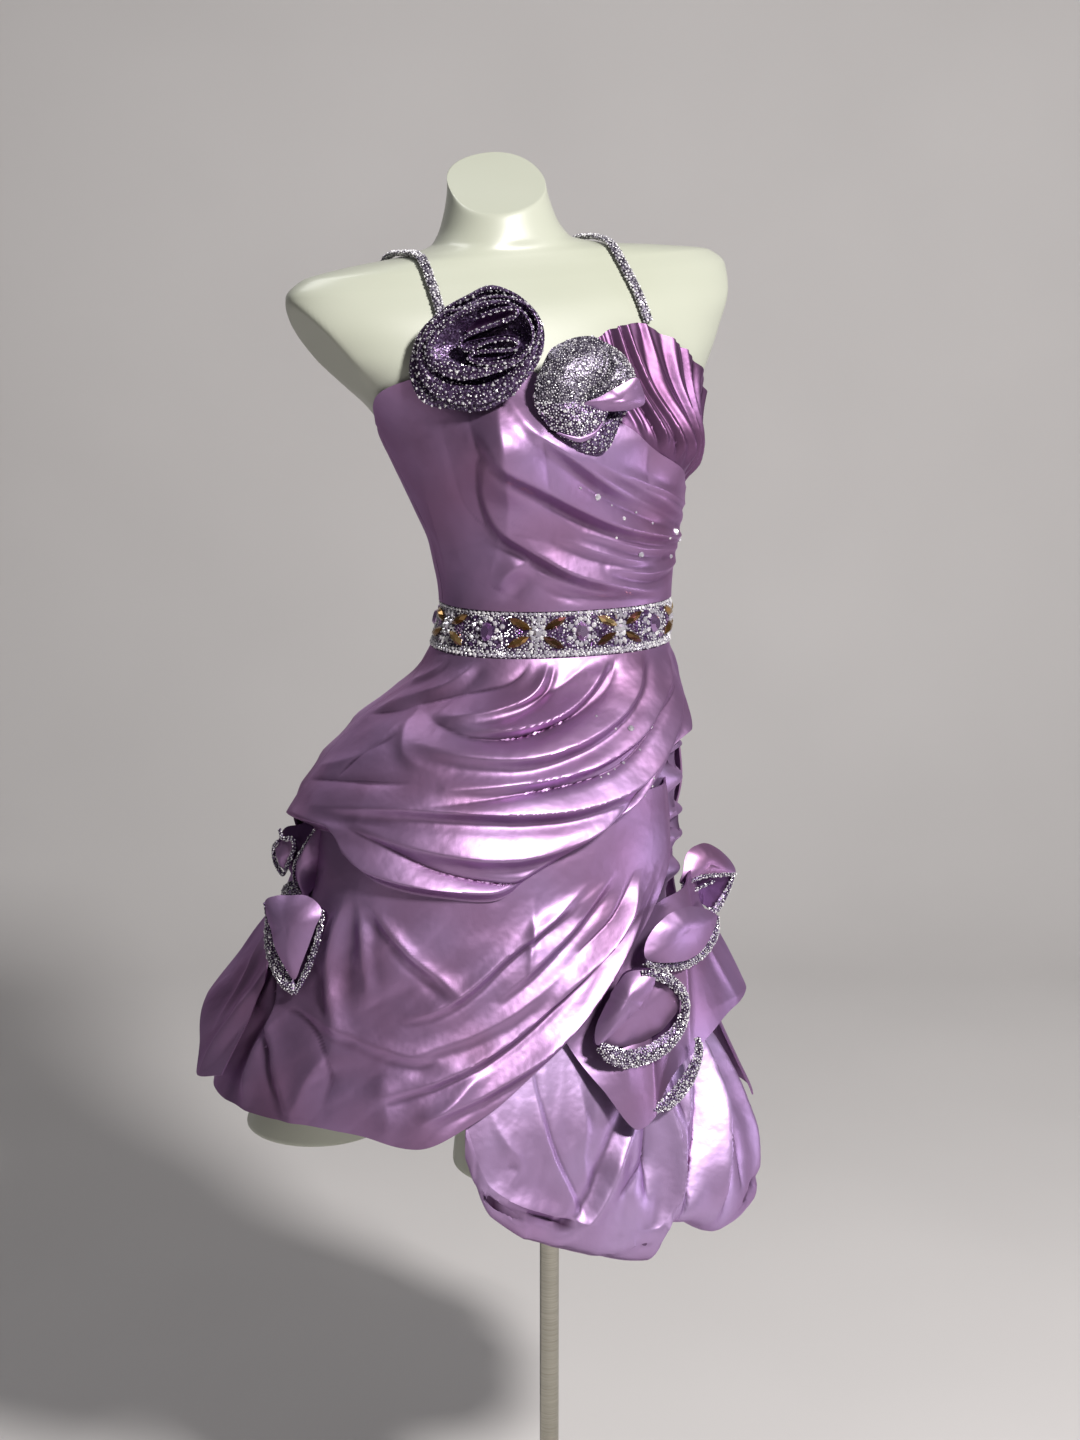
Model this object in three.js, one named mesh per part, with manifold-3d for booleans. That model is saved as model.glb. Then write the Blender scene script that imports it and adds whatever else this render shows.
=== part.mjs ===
// A short satin cocktail dress on a limbless dress form with a pole and a round base.
// Units are millimetres. +Z is up, -Y is the front of the dress, +X is the wearer's left.
// The origin is the middle of the base's underside, under the pole.
import * as THREE from "three";
import { mergeVertices } from "three/addons/utils/BufferGeometryUtils.js";
import Module from "manifold-3d";

const wasm = await Module();
wasm.setup();

// Driving dimensions
const SEAM_GAP = 0.3;
const CLOTH = 1.6; // satin with its backing
const WAIST_BAND_TOP = 1028;
const WAIST_BAND_BOTTOM = 987;
const BAND_INNER = 1.2; // clear of the form
const BAND_WALL = 3.2;
const STONE_RISE = 2.0;
const CUP_OFFSET = 2.5; // outer face of the pleated cup, from the form
const BODICE_OFFSET = 6.0; // outer face of the draped front, from the form
const POLE_RADIUS = 9.5;
const BASE_RADIUS = 170;
const BASE_HEIGHT = 14;
const STRAP_WIDTH = 9;
const STRAP_DEPTH = 4;

const DEGREE = Math.PI / 180;
const bell = (x) => Math.exp(-x * x);
const clamp01 = (x) => Math.min(1, Math.max(0, x));
const smooth = (x) => clamp01(x) ** 2 * (3 - 2 * clamp01(x));
const mix = (a, b, t) => a + (b - a) * t;

// A table with named columns. The first column is the one looked up, in rising order.
class Table {
  constructor(names, rows) {
    this.keys = rows.map((row) => row[0]);
    this.values = {};
    names.slice(1).forEach((name, i) => {
      this.values[name] = rows.map((row) => row[i + 1]);
    });
    this.slopes = {};
    for (const name of names.slice(1)) this.slopes[name] = this.slopesOf(this.values[name]);
  }

  // Slopes that never overshoot the rows.
  slopesOf(y) {
    const x = this.keys;
    const rise = x.slice(1).map((_, i) => (y[i + 1] - y[i]) / (x[i + 1] - x[i]));
    return x.map((_, i) => {
      if (i === 0) return rise[0];
      if (i === x.length - 1) return rise[i - 1];
      const product = rise[i - 1] * rise[i];
      return product <= 0 ? 0 : (2 * product) / (rise[i - 1] + rise[i]);
    });
  }

  at(name, key) {
    const x = this.keys;
    const y = this.values[name];
    const slope = this.slopes[name];
    if (key <= x[0]) return y[0];
    if (key >= x[x.length - 1]) return y[y.length - 1];
    const i = x.findIndex((next) => next > key) - 1;
    const h = x[i + 1] - x[i];
    const t = (key - x[i]) / h;
    return (
      y[i] * (1 + 2 * t) * (1 - t) ** 2 +
      slope[i] * h * t * (1 - t) ** 2 +
      y[i + 1] * t * t * (3 - 2 * t) +
      slope[i + 1] * h * t * t * (t - 1)
    );
  }
}

// Horizontal sections: the centre, and how far each side reaches from it.
const SECTION = ["z", "cx", "cy", "right", "left", "front", "back"];

// The form, from the crotch to the neck.
const FORM = new Table(SECTION, [
  [700, -84, 10, 70, 70, 50, 60],
  [716, -80, 9, 122, 122, 78, 90],
  [745, -74, 8, 150, 150, 92, 106],
  [790, -60, 5, 157, 155, 98, 112],
  [835, -46, 2, 154, 150, 99, 110],
  [900, -22, -1, 138, 131, 94, 99],
  [960, -2, 0, 117, 111, 86, 86],
  [987, 3, 0, 111, 106, 83, 82],
  [1028, 6, 0, 104, 103, 80, 78],
  [1080, 3, 0, 110, 110, 85, 84],
  [1120, -2, 0, 122, 121, 91, 91],
  [1165, -7, 1, 139, 137, 95, 97],
  [1195, -11, 3, 150, 146, 97, 100],
  [1230, -16, 8, 176, 168, 92, 99],
  [1262, -21, 13, 200, 194, 84, 93],
  [1294, -25, 17, 213, 213, 73, 84],
  [1316, -28, 21, 210, 213, 61, 72],
  [1330, -30, 24, 192, 200, 53, 63],
  [1338, -32, 26, 148, 148, 50, 58],
  [1344, -34, 28, 92, 92, 49, 56],
  [1352, -35, 30, 62, 62, 50, 55],
  [1374, -36, 34, 49, 49, 47, 50],
  [1400, -36, 38, 43, 43, 44, 46],
  [1440, -37, 41, 41, 41, 43, 44],
]);

// The skirt's common shell, which every layer of it is offset from.
const SKIRT = new Table(SECTION, [
  [425, -66, 12, 290, 290, 204, 212],
  [500, -66, 12, 284, 276, 198, 208],
  [540, -66, 12, 272, 258, 192, 203],
  [592, -65, 11, 256, 232, 184, 194],
  [650, -63, 10, 232, 208, 171, 182],
  [700, -60, 8, 212, 197, 160, 170],
  [740, -58, 7, 206, 190, 153, 162],
  [785, -55, 6, 204, 184, 146, 155],
  [825, -50, 4, 197, 177, 139, 146],
  [855, -42, 2, 188, 167, 131, 138],
  [890, -30, 0, 173, 150, 121, 127],
  [925, -15, 0, 153, 129, 109, 112],
  [960, 0, 0, 126, 114, 96, 97],
  [987, 3, 0, 115, 110, 87, 86],
]);

const ROUNDNESS = 2.2;
const SHOULDER_TILT = 0.075; // the left shoulder stands higher
const tiltAt = (z) => SHOULDER_TILT * smooth((z - 1190) / 110);

// The bust is a general fullness, the same on both sides.
const BUST = { angle: 36, height: 1172, spread: 23, rise: 40, depth: 27 };

function bustAt(angle, z, bridge) {
  const past = Math.abs(angle) - BUST.angle;
  const across = past > 0 ? bell(past / BUST.spread) : Math.max(bell(past / BUST.spread), bridge);
  return BUST.depth * across * bell((z - BUST.height) / BUST.rise);
}

// Distance from a section's centre at an angle: 0 is the front, 90 the wearer's left.
function reach(table, angle, z) {
  const s = Math.sin(angle * DEGREE);
  const c = Math.cos(angle * DEGREE);
  const across = Math.abs(s) / table.at(s < 0 ? "right" : "left", z);
  const along = Math.abs(c) / table.at(c > 0 ? "front" : "back", z);
  return (across ** ROUNDNESS + along ** ROUNDNESS) ** (-1 / ROUNDNESS);
}

function polar(table, angle, z, radius) {
  const x = table.at("cx", z) + radius * Math.sin(angle * DEGREE);
  const y = table.at("cy", z) - radius * Math.cos(angle * DEGREE);
  return new THREE.Vector3(x, y, z);
}

// A point over the form's torso. bridge is 1 where cloth spans the bust and 0 on the form itself.
function overForm(angle, z, offset, bridge = 0) {
  const radius = reach(FORM, angle, z) + bustAt(angle, z, bridge) + offset;
  const point = polar(FORM, angle, z, radius);
  point.z += tiltAt(z) * point.x;
  return point;
}

// Folds: each runs through three places on the cloth, given as angle and height.
// above and below are the half widths of its two slopes, depth is its height at the crest.
const FOLD = ["a1", "z1", "a2", "z2", "a3", "z3", "above", "below", "depth"];
const FOLD_STEPS = 14;

function foldTable(millimetresPerDegree, rows) {
  return rows.map((row) => {
    const fold = Object.fromEntries(FOLD.map((name, i) => [name, row[i]]));
    const start = [fold.a1 * millimetresPerDegree, fold.z1];
    const middle = [fold.a2 * millimetresPerDegree, fold.z2];
    const end = [fold.a3 * millimetresPerDegree, fold.z3];
    const control = middle.map((m, i) => 2 * m - (start[i] + end[i]) / 2);
    fold.path = [];
    for (let k = 0; k <= FOLD_STEPS; k++) {
      const t = k / FOLD_STEPS;
      fold.path.push(start.map((p, i) => (1 - t) ** 2 * p + 2 * t * (1 - t) * control[i] + t * t * end[i]));
    }
    fold.scale = millimetresPerDegree;
    return fold;
  });
}

function foldHeight(folds, angle, z) {
  let total = 0;
  for (const fold of folds) {
    const x = angle * fold.scale;
    let nearest = { distance: Infinity, side: 1, along: 0 };
    for (let k = 0; k < FOLD_STEPS; k++) {
      const [x0, z0] = fold.path[k];
      const [x1, z1] = fold.path[k + 1];
      const dx = x1 - x0;
      const dz = z1 - z0;
      const t = clamp01(((x - x0) * dx + (z - z0) * dz) / (dx * dx + dz * dz));
      const away = Math.hypot(x - x0 - t * dx, z - z0 - t * dz);
      if (away < nearest.distance) {
        const side = dx * (z - z0) - dz * (x - x0);
        nearest = { distance: away, side: dx < 0 ? -side : side, along: (k + t) / FOLD_STEPS };
      }
    }
    const width = nearest.side > 0 ? fold.above : fold.below;
    const fade = Math.sin(Math.PI * clamp01(0.08 + 0.84 * nearest.along)) ** 0.7;
    total += fold.depth * bell(nearest.distance / width) * fade;
  }
  return total;
}

// Closed solids from grids of points

function closedGeometry(points, faces) {
  const a = new THREE.Vector3();
  let volume = 0;
  for (const [i, j, k] of faces) volume += a.copy(points[i]).cross(points[j]).dot(points[k]);
  const index = faces.flatMap(([i, j, k]) => (volume > 0 ? [i, j, k] : [i, k, j]));
  const geometry = new THREE.BufferGeometry().setFromPoints(points);
  geometry.setIndex(index);
  geometry.computeVertexNormals();
  return geometry;
}

const gridOf = (rows, columns, point) =>
  Array.from({ length: rows }, (_, r) => Array.from({ length: columns }, (_, c) => point(c, r)));

// The grid's own points moved along its normals.
function moved(grid, distance, wraps) {
  const rows = grid.length;
  const columns = grid[0].length;
  const step = (c, by) => (wraps ? (c + by + columns) % columns : Math.min(columns - 1, Math.max(0, c + by)));
  return gridOf(rows, columns, (c, r) => {
    const along = grid[r][step(c, 1)].clone().sub(grid[r][step(c, -1)]);
    const up = grid[Math.min(rows - 1, r + 1)][c].clone().sub(grid[Math.max(0, r - 1)][c]);
    return grid[r][c].clone().addScaledVector(along.cross(up).normalize(), distance);
  });
}

// A wall between two grids, closed round its free edges.
function wallBetween(outer, inner, wraps) {
  const rows = outer.length;
  const columns = outer[0].length;
  const count = rows * columns;
  const points = [...outer.flat(), ...inner.flat()];
  const faces = [];
  const quad = (a, b, c, d) => faces.push([a, b, c], [a, c, d]);
  const id = (r, c) => r * columns + (c % columns);
  const spans = wraps ? columns : columns - 1;
  for (let c = 0; c < spans; c++) {
    for (let r = 0; r < rows - 1; r++) {
      const corners = [id(r, c), id(r, c + 1), id(r + 1, c + 1), id(r + 1, c)];
      quad(...corners);
      quad(...corners.map((i) => i + count).reverse());
    }
    quad(id(0, c), id(0, c) + count, id(0, c + 1) + count, id(0, c + 1));
    const top = rows - 1;
    quad(id(top, c), id(top, c + 1), id(top, c + 1) + count, id(top, c) + count);
  }
  for (let r = 0; r < rows - 1 && !wraps; r++) {
    const last = columns - 1;
    quad(id(r, 0), id(r + 1, 0), id(r + 1, 0) + count, id(r, 0) + count);
    quad(id(r, last), id(r, last) + count, id(r + 1, last) + count, id(r + 1, last));
  }
  return closedGeometry(points, faces);
}

const clothWall = (grid, thickness = CLOTH, wraps = false) =>
  wallBetween(grid, moved(grid, -thickness, wraps), wraps);

// A solid skinned over a stack of closed rings, with flat ends.
function loft(rings) {
  const sides = rings[0].length;
  const points = rings.flat();
  const faces = [];
  const id = (r, c) => r * sides + (c % sides);
  const middleOf = (ring) =>
    ring.reduce((sum, p) => sum.add(p), new THREE.Vector3()).divideScalar(ring.length);
  for (let c = 0; c < sides; c++)
    for (let r = 0; r < rings.length - 1; r++)
      faces.push([id(r, c), id(r, c + 1), id(r + 1, c + 1)], [id(r, c), id(r + 1, c + 1), id(r + 1, c)]);
  const bottom = points.push(middleOf(rings[0])) - 1;
  const top = points.push(middleOf(rings[rings.length - 1])) - 1;
  for (let c = 0; c < sides; c++) {
    faces.push([bottom, id(0, c + 1), id(0, c)]);
    faces.push([top, id(rings.length - 1, c), id(rings.length - 1, c + 1)]);
  }
  return closedGeometry(points, faces);
}

function toSolid(geometry) {
  const bare = geometry.clone();
  bare.deleteAttribute("normal");
  if (bare.hasAttribute("uv")) bare.deleteAttribute("uv");
  const merged = mergeVertices(bare, 1e-3);
  const vertProperties = new Float32Array(merged.attributes.position.array);
  return new wasm.Manifold(
    new wasm.Mesh({ numProp: 3, vertProperties, triVerts: new Uint32Array(merged.index.array) }),
  );
}

function toGeometry(solid) {
  const mesh = solid.getMesh();
  const geometry = new THREE.BufferGeometry();
  geometry.setAttribute("position", new THREE.BufferAttribute(new Float32Array(mesh.vertProperties), 3));
  geometry.setIndex(new THREE.BufferAttribute(new Uint32Array(mesh.triVerts), 1));
  geometry.computeVertexNormals();
  return geometry;
}

// The dress form

const FORM_SIDES = 28;
const FORM_LEVELS = [
  700, 716, 745, 800, 860, 920, 965, 995, 1016, 1034, 1055, 1085, 1110, 1135, 1158, 1180, 1205, 1232, 1260,
  1288, 1308, 1322, 1332, 1338, 1343, 1349, 1358, 1376, 1440,
];
const LEGS = [
  { name: "right", topX: -136, topY: 8, bottomX: -212, bottomY: 70, bottomZ: 524, topR: 76, bottomR: 70 },
  { name: "left", topX: 20, topY: 5, bottomX: -25, bottomY: 11, bottomZ: 472, topR: 76, bottomR: 68 },
];
const LEG_TOP = 800;
const LEG_SIDES = 18;
const LEG_LEVELS = 4;
const ARM_CUTS = [
  { side: -1, x: -205, y: 15, z: 1248, lean: 36, armpit: 1194 },
  { side: 1, x: 160, y: 15, z: 1257, lean: 21, armpit: 1200 },
];
const NECK_CUT = { x: -35, y: 38, z: 1401, turn: -24, lean: 31 };

// A ring of the form, its points spread evenly round a squashed circle.
function formRing(z) {
  return Array.from({ length: FORM_SIDES }, (_, i) => {
    const t = (i / FORM_SIDES) * 2 * Math.PI;
    const s = Math.sin(t);
    const c = Math.cos(t);
    const x = Math.sign(s) * Math.abs(s) ** (2 / ROUNDNESS) * FORM.at(s < 0 ? "right" : "left", z);
    const y = Math.sign(c) * Math.abs(c) ** (2 / ROUNDNESS) * FORM.at(c > 0 ? "front" : "back", z);
    const swell = 1 + bustAt(Math.atan2(x, y) / DEGREE, z, 0) / Math.hypot(x, y);
    const point = new THREE.Vector3(FORM.at("cx", z) + x * swell, FORM.at("cy", z) - y * swell, z);
    point.z += tiltAt(z) * point.x;
    return point;
  });
}

function legRings(leg) {
  return Array.from({ length: LEG_LEVELS + 1 }, (_, k) => {
    const t = k / LEG_LEVELS;
    const radius = mix(leg.bottomR, leg.topR, t);
    return Array.from({ length: LEG_SIDES }, (_, i) => {
      const turn = (i / LEG_SIDES) * 2 * Math.PI;
      const x = mix(leg.bottomX, leg.topX, t) + radius * Math.sin(turn);
      const y = mix(leg.bottomY, leg.topY, t) - radius * Math.cos(turn);
      return new THREE.Vector3(x, y, mix(leg.bottomZ, LEG_TOP, t));
    });
  });
}

// A block whose lower face is the cutting plane; what lies above the face is removed.
function cutter(size, place, normal) {
  const block = new THREE.BoxGeometry(size, size, size);
  const turn = new THREE.Quaternion().setFromUnitVectors(new THREE.Vector3(0, 0, 1), normal);
  block.translate(0, 0, size / 2).applyQuaternion(turn).translate(place.x, place.y, place.z);
  return toSolid(block);
}

function formGeometry() {
  let form = toSolid(loft(FORM_LEVELS.map(formRing)));
  for (const leg of LEGS) form = form.add(toSolid(loft(legRings(leg))));
  for (const cut of ARM_CUTS) {
    const lean = cut.lean * DEGREE;
    const normal = new THREE.Vector3(cut.side * Math.cos(lean), -0.1, -Math.sin(lean)).normalize();
    form = form.subtract(cutter(260, cut, normal).trimByPlane([0, 0, 1], cut.armpit));
  }
  const lean = NECK_CUT.lean * DEGREE;
  const turn = NECK_CUT.turn * DEGREE;
  const normal = new THREE.Vector3(
    Math.sin(turn) * Math.sin(lean),
    -Math.cos(turn) * Math.sin(lean),
    Math.cos(lean),
  );
  return toGeometry(form.subtract(cutter(260, NECK_CUT, normal)));
}

function poleGeometry() {
  const top = LEGS[1].bottomZ - SEAM_GAP;
  const foot = BASE_HEIGHT + SEAM_GAP;
  const flange = { radius: 26, height: 5 };
  const profile = [
    [0, foot],
    [POLE_RADIUS, foot],
    [POLE_RADIUS, top - flange.height],
    [flange.radius, top - flange.height],
    [flange.radius, top],
    [0, top],
  ].map(([r, z]) => new THREE.Vector2(r, z));
  return new THREE.LatheGeometry(profile, 24).rotateX(Math.PI / 2);
}

function baseGeometry() {
  const edge = 3;
  const profile = [
    [0, 0],
    [BASE_RADIUS, 0],
    [BASE_RADIUS, BASE_HEIGHT - edge],
    [BASE_RADIUS - edge, BASE_HEIGHT],
    [0, BASE_HEIGHT],
  ].map(([r, z]) => new THREE.Vector2(r, z));
  return new THREE.LatheGeometry(profile, 36).rotateX(Math.PI / 2);
}

// The bodice

const FRONT_RIGHT_SEAM = -93;
const FRONT_LEFT_SEAM = 87;

// Upper edge of the draped front: over the right cup, then down under the pleated cup.
const BODICE_TOP = new Table(["angle", "z"], [
  [-93, 1190],
  [-84, 1206],
  [-70, 1229],
  [-56, 1243],
  [-42, 1250],
  [-28, 1246],
  [-14, 1228],
  [-2, 1204],
  [14, 1192],
  [28, 1165],
  [45, 1147],
  [62, 1131],
  [87, 1124],
]);

// Upper edge of the pleated cup.
const CUP_TOP = new Table(["angle", "z"], [
  [-4, 1222],
  [14, 1256],
  [28, 1270],
  [43, 1275],
  [56, 1258],
  [68, 1238],
  [80, 1208],
  [95, 1178],
]);

const BACK_TOP = new Table(["angle", "z"], [
  [87, 1186],
  [110, 1166],
  [150, 1150],
  [210, 1150],
  [250, 1166],
  [267, 1188],
]);

// Folds that run from the right side and gather at the left side seam.
const BODICE_FOLDS = foldTable(1.95, [
  [-34, 1226, -17, 1172, 44, 1116, 20, 7, 4.5],
  [-42, 1184, -20, 1130, 66, 1090, 18, 6, 6.5],
  [-52, 1160, -44, 1094, 62, 1040, 24, 8, 8],
  [-20, 1106, 12, 1076, 64, 1062, 16, 7, 4],
  [-66, 1074, -46, 1052, -6, 1044, 14, 8, 5],
  [-8, 1168, 22, 1138, 60, 1118, 12, 6, 3],
]);

const BODICE_COLUMNS = 31;
const BODICE_ROWS = 14;
const bodiceBottom = WAIST_BAND_TOP + SEAM_GAP;

function bodiceFrontPoint(angle, z) {
  const edges = smooth((z - bodiceBottom) / 14) * smooth((angle - FRONT_RIGHT_SEAM) / 8);
  return overForm(angle, z, BODICE_OFFSET + foldHeight(BODICE_FOLDS, angle, z) * edges, 0.72);
}

function bodiceFrontGeometry() {
  const grid = gridOf(BODICE_ROWS, BODICE_COLUMNS, (c, r) => {
    const angle = mix(FRONT_RIGHT_SEAM, FRONT_LEFT_SEAM, c / (BODICE_COLUMNS - 1));
    const z = mix(bodiceBottom, BODICE_TOP.at("z", angle), r / (BODICE_ROWS - 1));
    return bodiceFrontPoint(angle, z);
  });
  return clothWall(grid);
}

// Pleats fan down from the top of the left cup and slip under the draped front.
const PLEATS = 11;
const PLEAT_SAMPLES = 4;
const PLEAT_DEPTH = 4.2;
const CUP_UNDERLAP = 8;
const CUP_ROWS = 6;

function cupGeometry() {
  const columns = PLEATS * PLEAT_SAMPLES + 1;
  const grid = gridOf(CUP_ROWS, columns, (c, r) => {
    const across = c / (columns - 1);
    const up = r / (CUP_ROWS - 1);
    const angle = mix(mix(0, 88, across), mix(2, 84, across), up);
    const low = BODICE_TOP.at("z", angle) - CUP_UNDERLAP;
    const z = mix(low, CUP_TOP.at("z", angle), up);
    const turn = (c / PLEAT_SAMPLES) * 2 * Math.PI;
    const pleat = 0.5 + 0.5 * Math.sin(turn) + 0.2 * Math.sin(2 * turn);
    const fullness = smooth((z - low - 11) / 22) * (1 - 0.35 * up);
    const proud = smooth((z - low - 11) / 10) + 1.4 * up;
    return overForm(angle, z, CUP_OFFSET + proud + PLEAT_DEPTH * pleat * fullness, 0.72);
  });
  return clothWall(grid, 1.3);
}

function bodiceBackGeometry() {
  const columns = 15;
  const rows = 6;
  const seam = 0.4;
  const grid = gridOf(rows, columns, (c, r) => {
    const angle = mix(FRONT_LEFT_SEAM + seam, FRONT_RIGHT_SEAM + 360 - seam, c / (columns - 1));
    const z = mix(bodiceBottom, BACK_TOP.at("z", angle), r / (rows - 1));
    const signed = angle > 180 ? angle - 360 : angle;
    return overForm(signed, z, BODICE_OFFSET, 0.72);
  });
  return clothWall(grid);
}

// The form's surface at a sideways place and a height, on its front or its back.
function formSide(x, z, front) {
  const away = x - FORM.at("cx", z);
  const share = Math.abs(away) / FORM.at(away < 0 ? "right" : "left", z);
  if (share >= 1) return null;
  const depth = FORM.at(front ? "front" : "back", z) * (1 - share ** ROUNDNESS) ** (1 / ROUNDNESS);
  const swell = front ? bustAt(Math.atan2(away, depth) / DEGREE, z, 0) / Math.hypot(away, depth) : 0;
  return FORM.at("cy", z) + (front ? -depth : depth) * (1 + swell);
}

const SHOULDER_RIDGE = 1343;

// Half of a strap's way: up the front or the back of the form to the shoulder's ridge.
function strapHalf(strap, low, lowX, front) {
  const points = [];
  for (let z = low; ; z += 3) {
    const x = mix(lowX, strap.topX, (z - low) / (SHOULDER_RIDGE - low));
    const y = formSide(x, z, front);
    if (y === null) return points;
    points.push(new THREE.Vector3(x, y, z + tiltAt(z) * x));
  }
}

function strapPath(strap) {
  const front = strapHalf(strap, strap.frontZ, strap.frontX, true);
  const back = strapHalf(strap, strap.backZ, strap.backX, false);
  return new THREE.CatmullRomCurve3([...front, ...back.reverse()]);
}

const STRAPS = [
  { name: "strap_right", frontX: -123, frontZ: 1249, topX: -129, backX: -118, backZ: 1162.5 },
  { name: "strap_left", frontX: 66, frontZ: 1273, topX: 50, backX: 54, backZ: 1153 },
];
const STRAP_STEPS = 22;
const STRAP_CLEAR = 4.6; // from the form to the middle of the strap
const STRAP_SECTION = [
  [-1, 0],
  [-0.6, -1],
  [0.6, -1],
  [1, 0],
  [0.6, 1],
  [-0.6, 1],
];

function strapGeometry(strap) {
  const path = strapPath(strap);
  const rings = Array.from({ length: STRAP_STEPS + 1 }, (_, k) => {
    const point = path.getPointAt(k / STRAP_STEPS);
    const along = path.getTangentAt(k / STRAP_STEPS);
    const side = new THREE.Vector3(1, 0, 0).addScaledVector(along, -along.x).normalize();
    const out = side.clone().cross(along);
    return STRAP_SECTION.map(([across, deep]) =>
      point
        .clone()
        .addScaledVector(side, (across * STRAP_WIDTH) / 2)
        .addScaledVector(out, STRAP_CLEAR + (deep * STRAP_DEPTH) / 2),
    );
  });
  return loft(rings);
}

// The beaded waistband: large stones are raised in its outer face.
const BAND_COLUMNS = 60;
const BAND_ROWS = 5;

function waistbandGeometry() {
  const place = (c, r, offset) => {
    const angle = -180 + (c / BAND_COLUMNS) * 360;
    return overForm(angle, mix(WAIST_BAND_BOTTOM, WAIST_BAND_TOP, r / (BAND_ROWS - 1)), offset);
  };
  const stone = (c, r) => {
    if (r === 0 || r === BAND_ROWS - 1) return 0;
    return (c + r) % 2 === 0 ? STONE_RISE : 0;
  };
  const outer = gridOf(BAND_ROWS, BAND_COLUMNS, (c, r) => place(c, r, BAND_INNER + BAND_WALL + stone(c, r)));
  const inner = gridOf(BAND_ROWS, BAND_COLUMNS, (c, r) => place(c, r, BAND_INNER));
  return wallBetween(outer, inner, true);
}

// The skirt

const skirtTop = WAIST_BAND_BOTTOM - SEAM_GAP;
const DRAPE_RIGHT = -100;
const DRAPE_LEFT = 86;

// Lower edge of the swagged drape.
const DRAPE_HEM = new Table(["angle", "z"], [
  [-100, 830],
  [-90, 834],
  [-76, 838],
  [-66, 820],
  [-56, 803],
  [-40, 793],
  [-24, 788],
  [-8, 806],
  [10, 828],
  [26, 850],
  [40, 876],
  [58, 908],
  [86, 926],
]);

const DRAPE_FOLDS = foldTable(2.7, [
  [-30, 988, -62, 966, -98, 920, 16, 7, 8],
  [-2, 982, -40, 948, -84, 926, 16, 8, 8],
  [32, 984, -2, 946, -58, 918, 18, 8, 8],
  [-82, 940, -28, 912, 44, 980, 16, 7, 7],
  [-88, 902, -26, 893, 54, 966, 18, 8, 10],
  [-80, 868, -14, 855, 62, 952, 20, 7, 12],
  [-98, 844, -40, 822, 66, 934, 14, 6, 10],
  [-98, 900, -94, 874, -80, 850, 14, 12, 6],
]);

// Lower front layer, from under the drape to its slanting hem.
const FAN_RIGHT = -99;
const FAN_LEFT = 62;
const FAN_HEM = new Table(["angle", "z"], [
  [-99, 598],
  [-91, 590],
  [-78, 594],
  [-64, 595],
  [-52, 590],
  [-38, 581],
  [-27, 595],
  [-18, 610],
  [-6, 638],
  [11, 678],
  [20, 702],
  [38, 750],
  [50, 790],
  [62, 828],
]);

const FAN_FOLDS = foldTable(3.2, [
  [56, 840, 14, 726, -44, 650, 20, 9, 7],
  [50, 802, 6, 690, -40, 622, 18, 8, 6],
  [58, 860, 24, 784, -30, 730, 16, 8, 5],
  [-68, 790, -60, 720, -52, 610, 12, 12, 8],
  [-60, 796, -46, 720, -34, 640, 12, 12, 6],
  [-78, 760, -84, 680, -90, 590, 14, 14, 9],
]);

const BACK_HEM = new Table(["angle", "z"], [
  [86, 504],
  [98, 512],
  [120, 530],
  [150, 548],
  [180, 560],
  [210, 572],
  [235, 584],
  [260, 596],
]);
const BACK_FLUTES = [
  { angle: 92, rise: 26 },
  { angle: 116, rise: 16 },
  { angle: 141, rise: 20 },
  { angle: 166, rise: 17 },
  { angle: 191, rise: 20 },
  { angle: 214, rise: 17 },
  { angle: 236, rise: 14 },
];
const FLUTE_SPREAD = 9;
const BACK_FOLDS = foldTable(2.7, [
  [100, 940, 170, 900, 258, 922, 18, 8, 8],
  [96, 902, 168, 862, 258, 880, 18, 8, 9],
  [98, 860, 176, 822, 256, 840, 18, 8, 9],
]);

// The pointed flounce that springs from the right hip, over the side seam.
const FLOUNCE_TOP = 800;
const FLOUNCE_BACK = -134;
const FLOUNCE_FRONT = -87;
const FLOUNCE_HEM = new Table(["angle", "z"], [
  [-134, 676],
  [-124, 660],
  [-113, 650],
  [-103, 626],
  [-95, 604],
  [-87, 614],
]);

// The bubble underskirt at the lower left.
const BUBBLE_RIGHT = -27;
const BUBBLE_LEFT = 96;
const BUBBLE_TOP = new Table(["angle", "z"], [
  [-27, 812],
  [20, 860],
  [60, 936],
  [96, 958],
]);
const BUBBLE_HEM = new Table(["angle", "z"], [
  [-27, 560],
  [-20, 506],
  [-4, 474],
  [12, 452],
  [26, 438],
  [33, 462],
  [40, 458],
  [52, 432],
  [66, 430],
  [74, 446],
  [84, 436],
  [96, 448],
]);
const BUBBLE_FOLDS = [
  { angle: -10, spread: 7, depth: 8 },
  { angle: 6, spread: 8, depth: 10 },
  { angle: 22, spread: 7, depth: 12 },
  { angle: 38, spread: 4.5, depth: 10 },
  { angle: 47, spread: 4, depth: 9 },
  { angle: 56, spread: 4.5, depth: 12 },
  { angle: 68, spread: 5, depth: 12 },
  { angle: 82, spread: 5.5, depth: 12 },
];

// The pointed cascade behind the left hip petals.
const CASCADE_RIGHT = 2;
const CASCADE_LEFT = 80;
const CASCADE_HEM = new Table(["angle", "z"], [
  [2, 664],
  [14, 606],
  [24, 556],
  [34, 588],
  [46, 622],
  [58, 642],
  [68, 652],
  [80, 700],
]);

// Where the drape is caught up on the right hip, the layers under it are drawn in.
const caughtIn = (angle, z) => 30 * bell((angle + 99) / 24) * bell((z - 782) / 46);

const signedAngle = (angle) => (angle > 180 ? angle - 360 : angle);

function overSkirt(angle, z, offset) {
  const signed = signedAngle(angle);
  return polar(SKIRT, signed, z, reach(SKIRT, signed, z) + offset);
}

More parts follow.
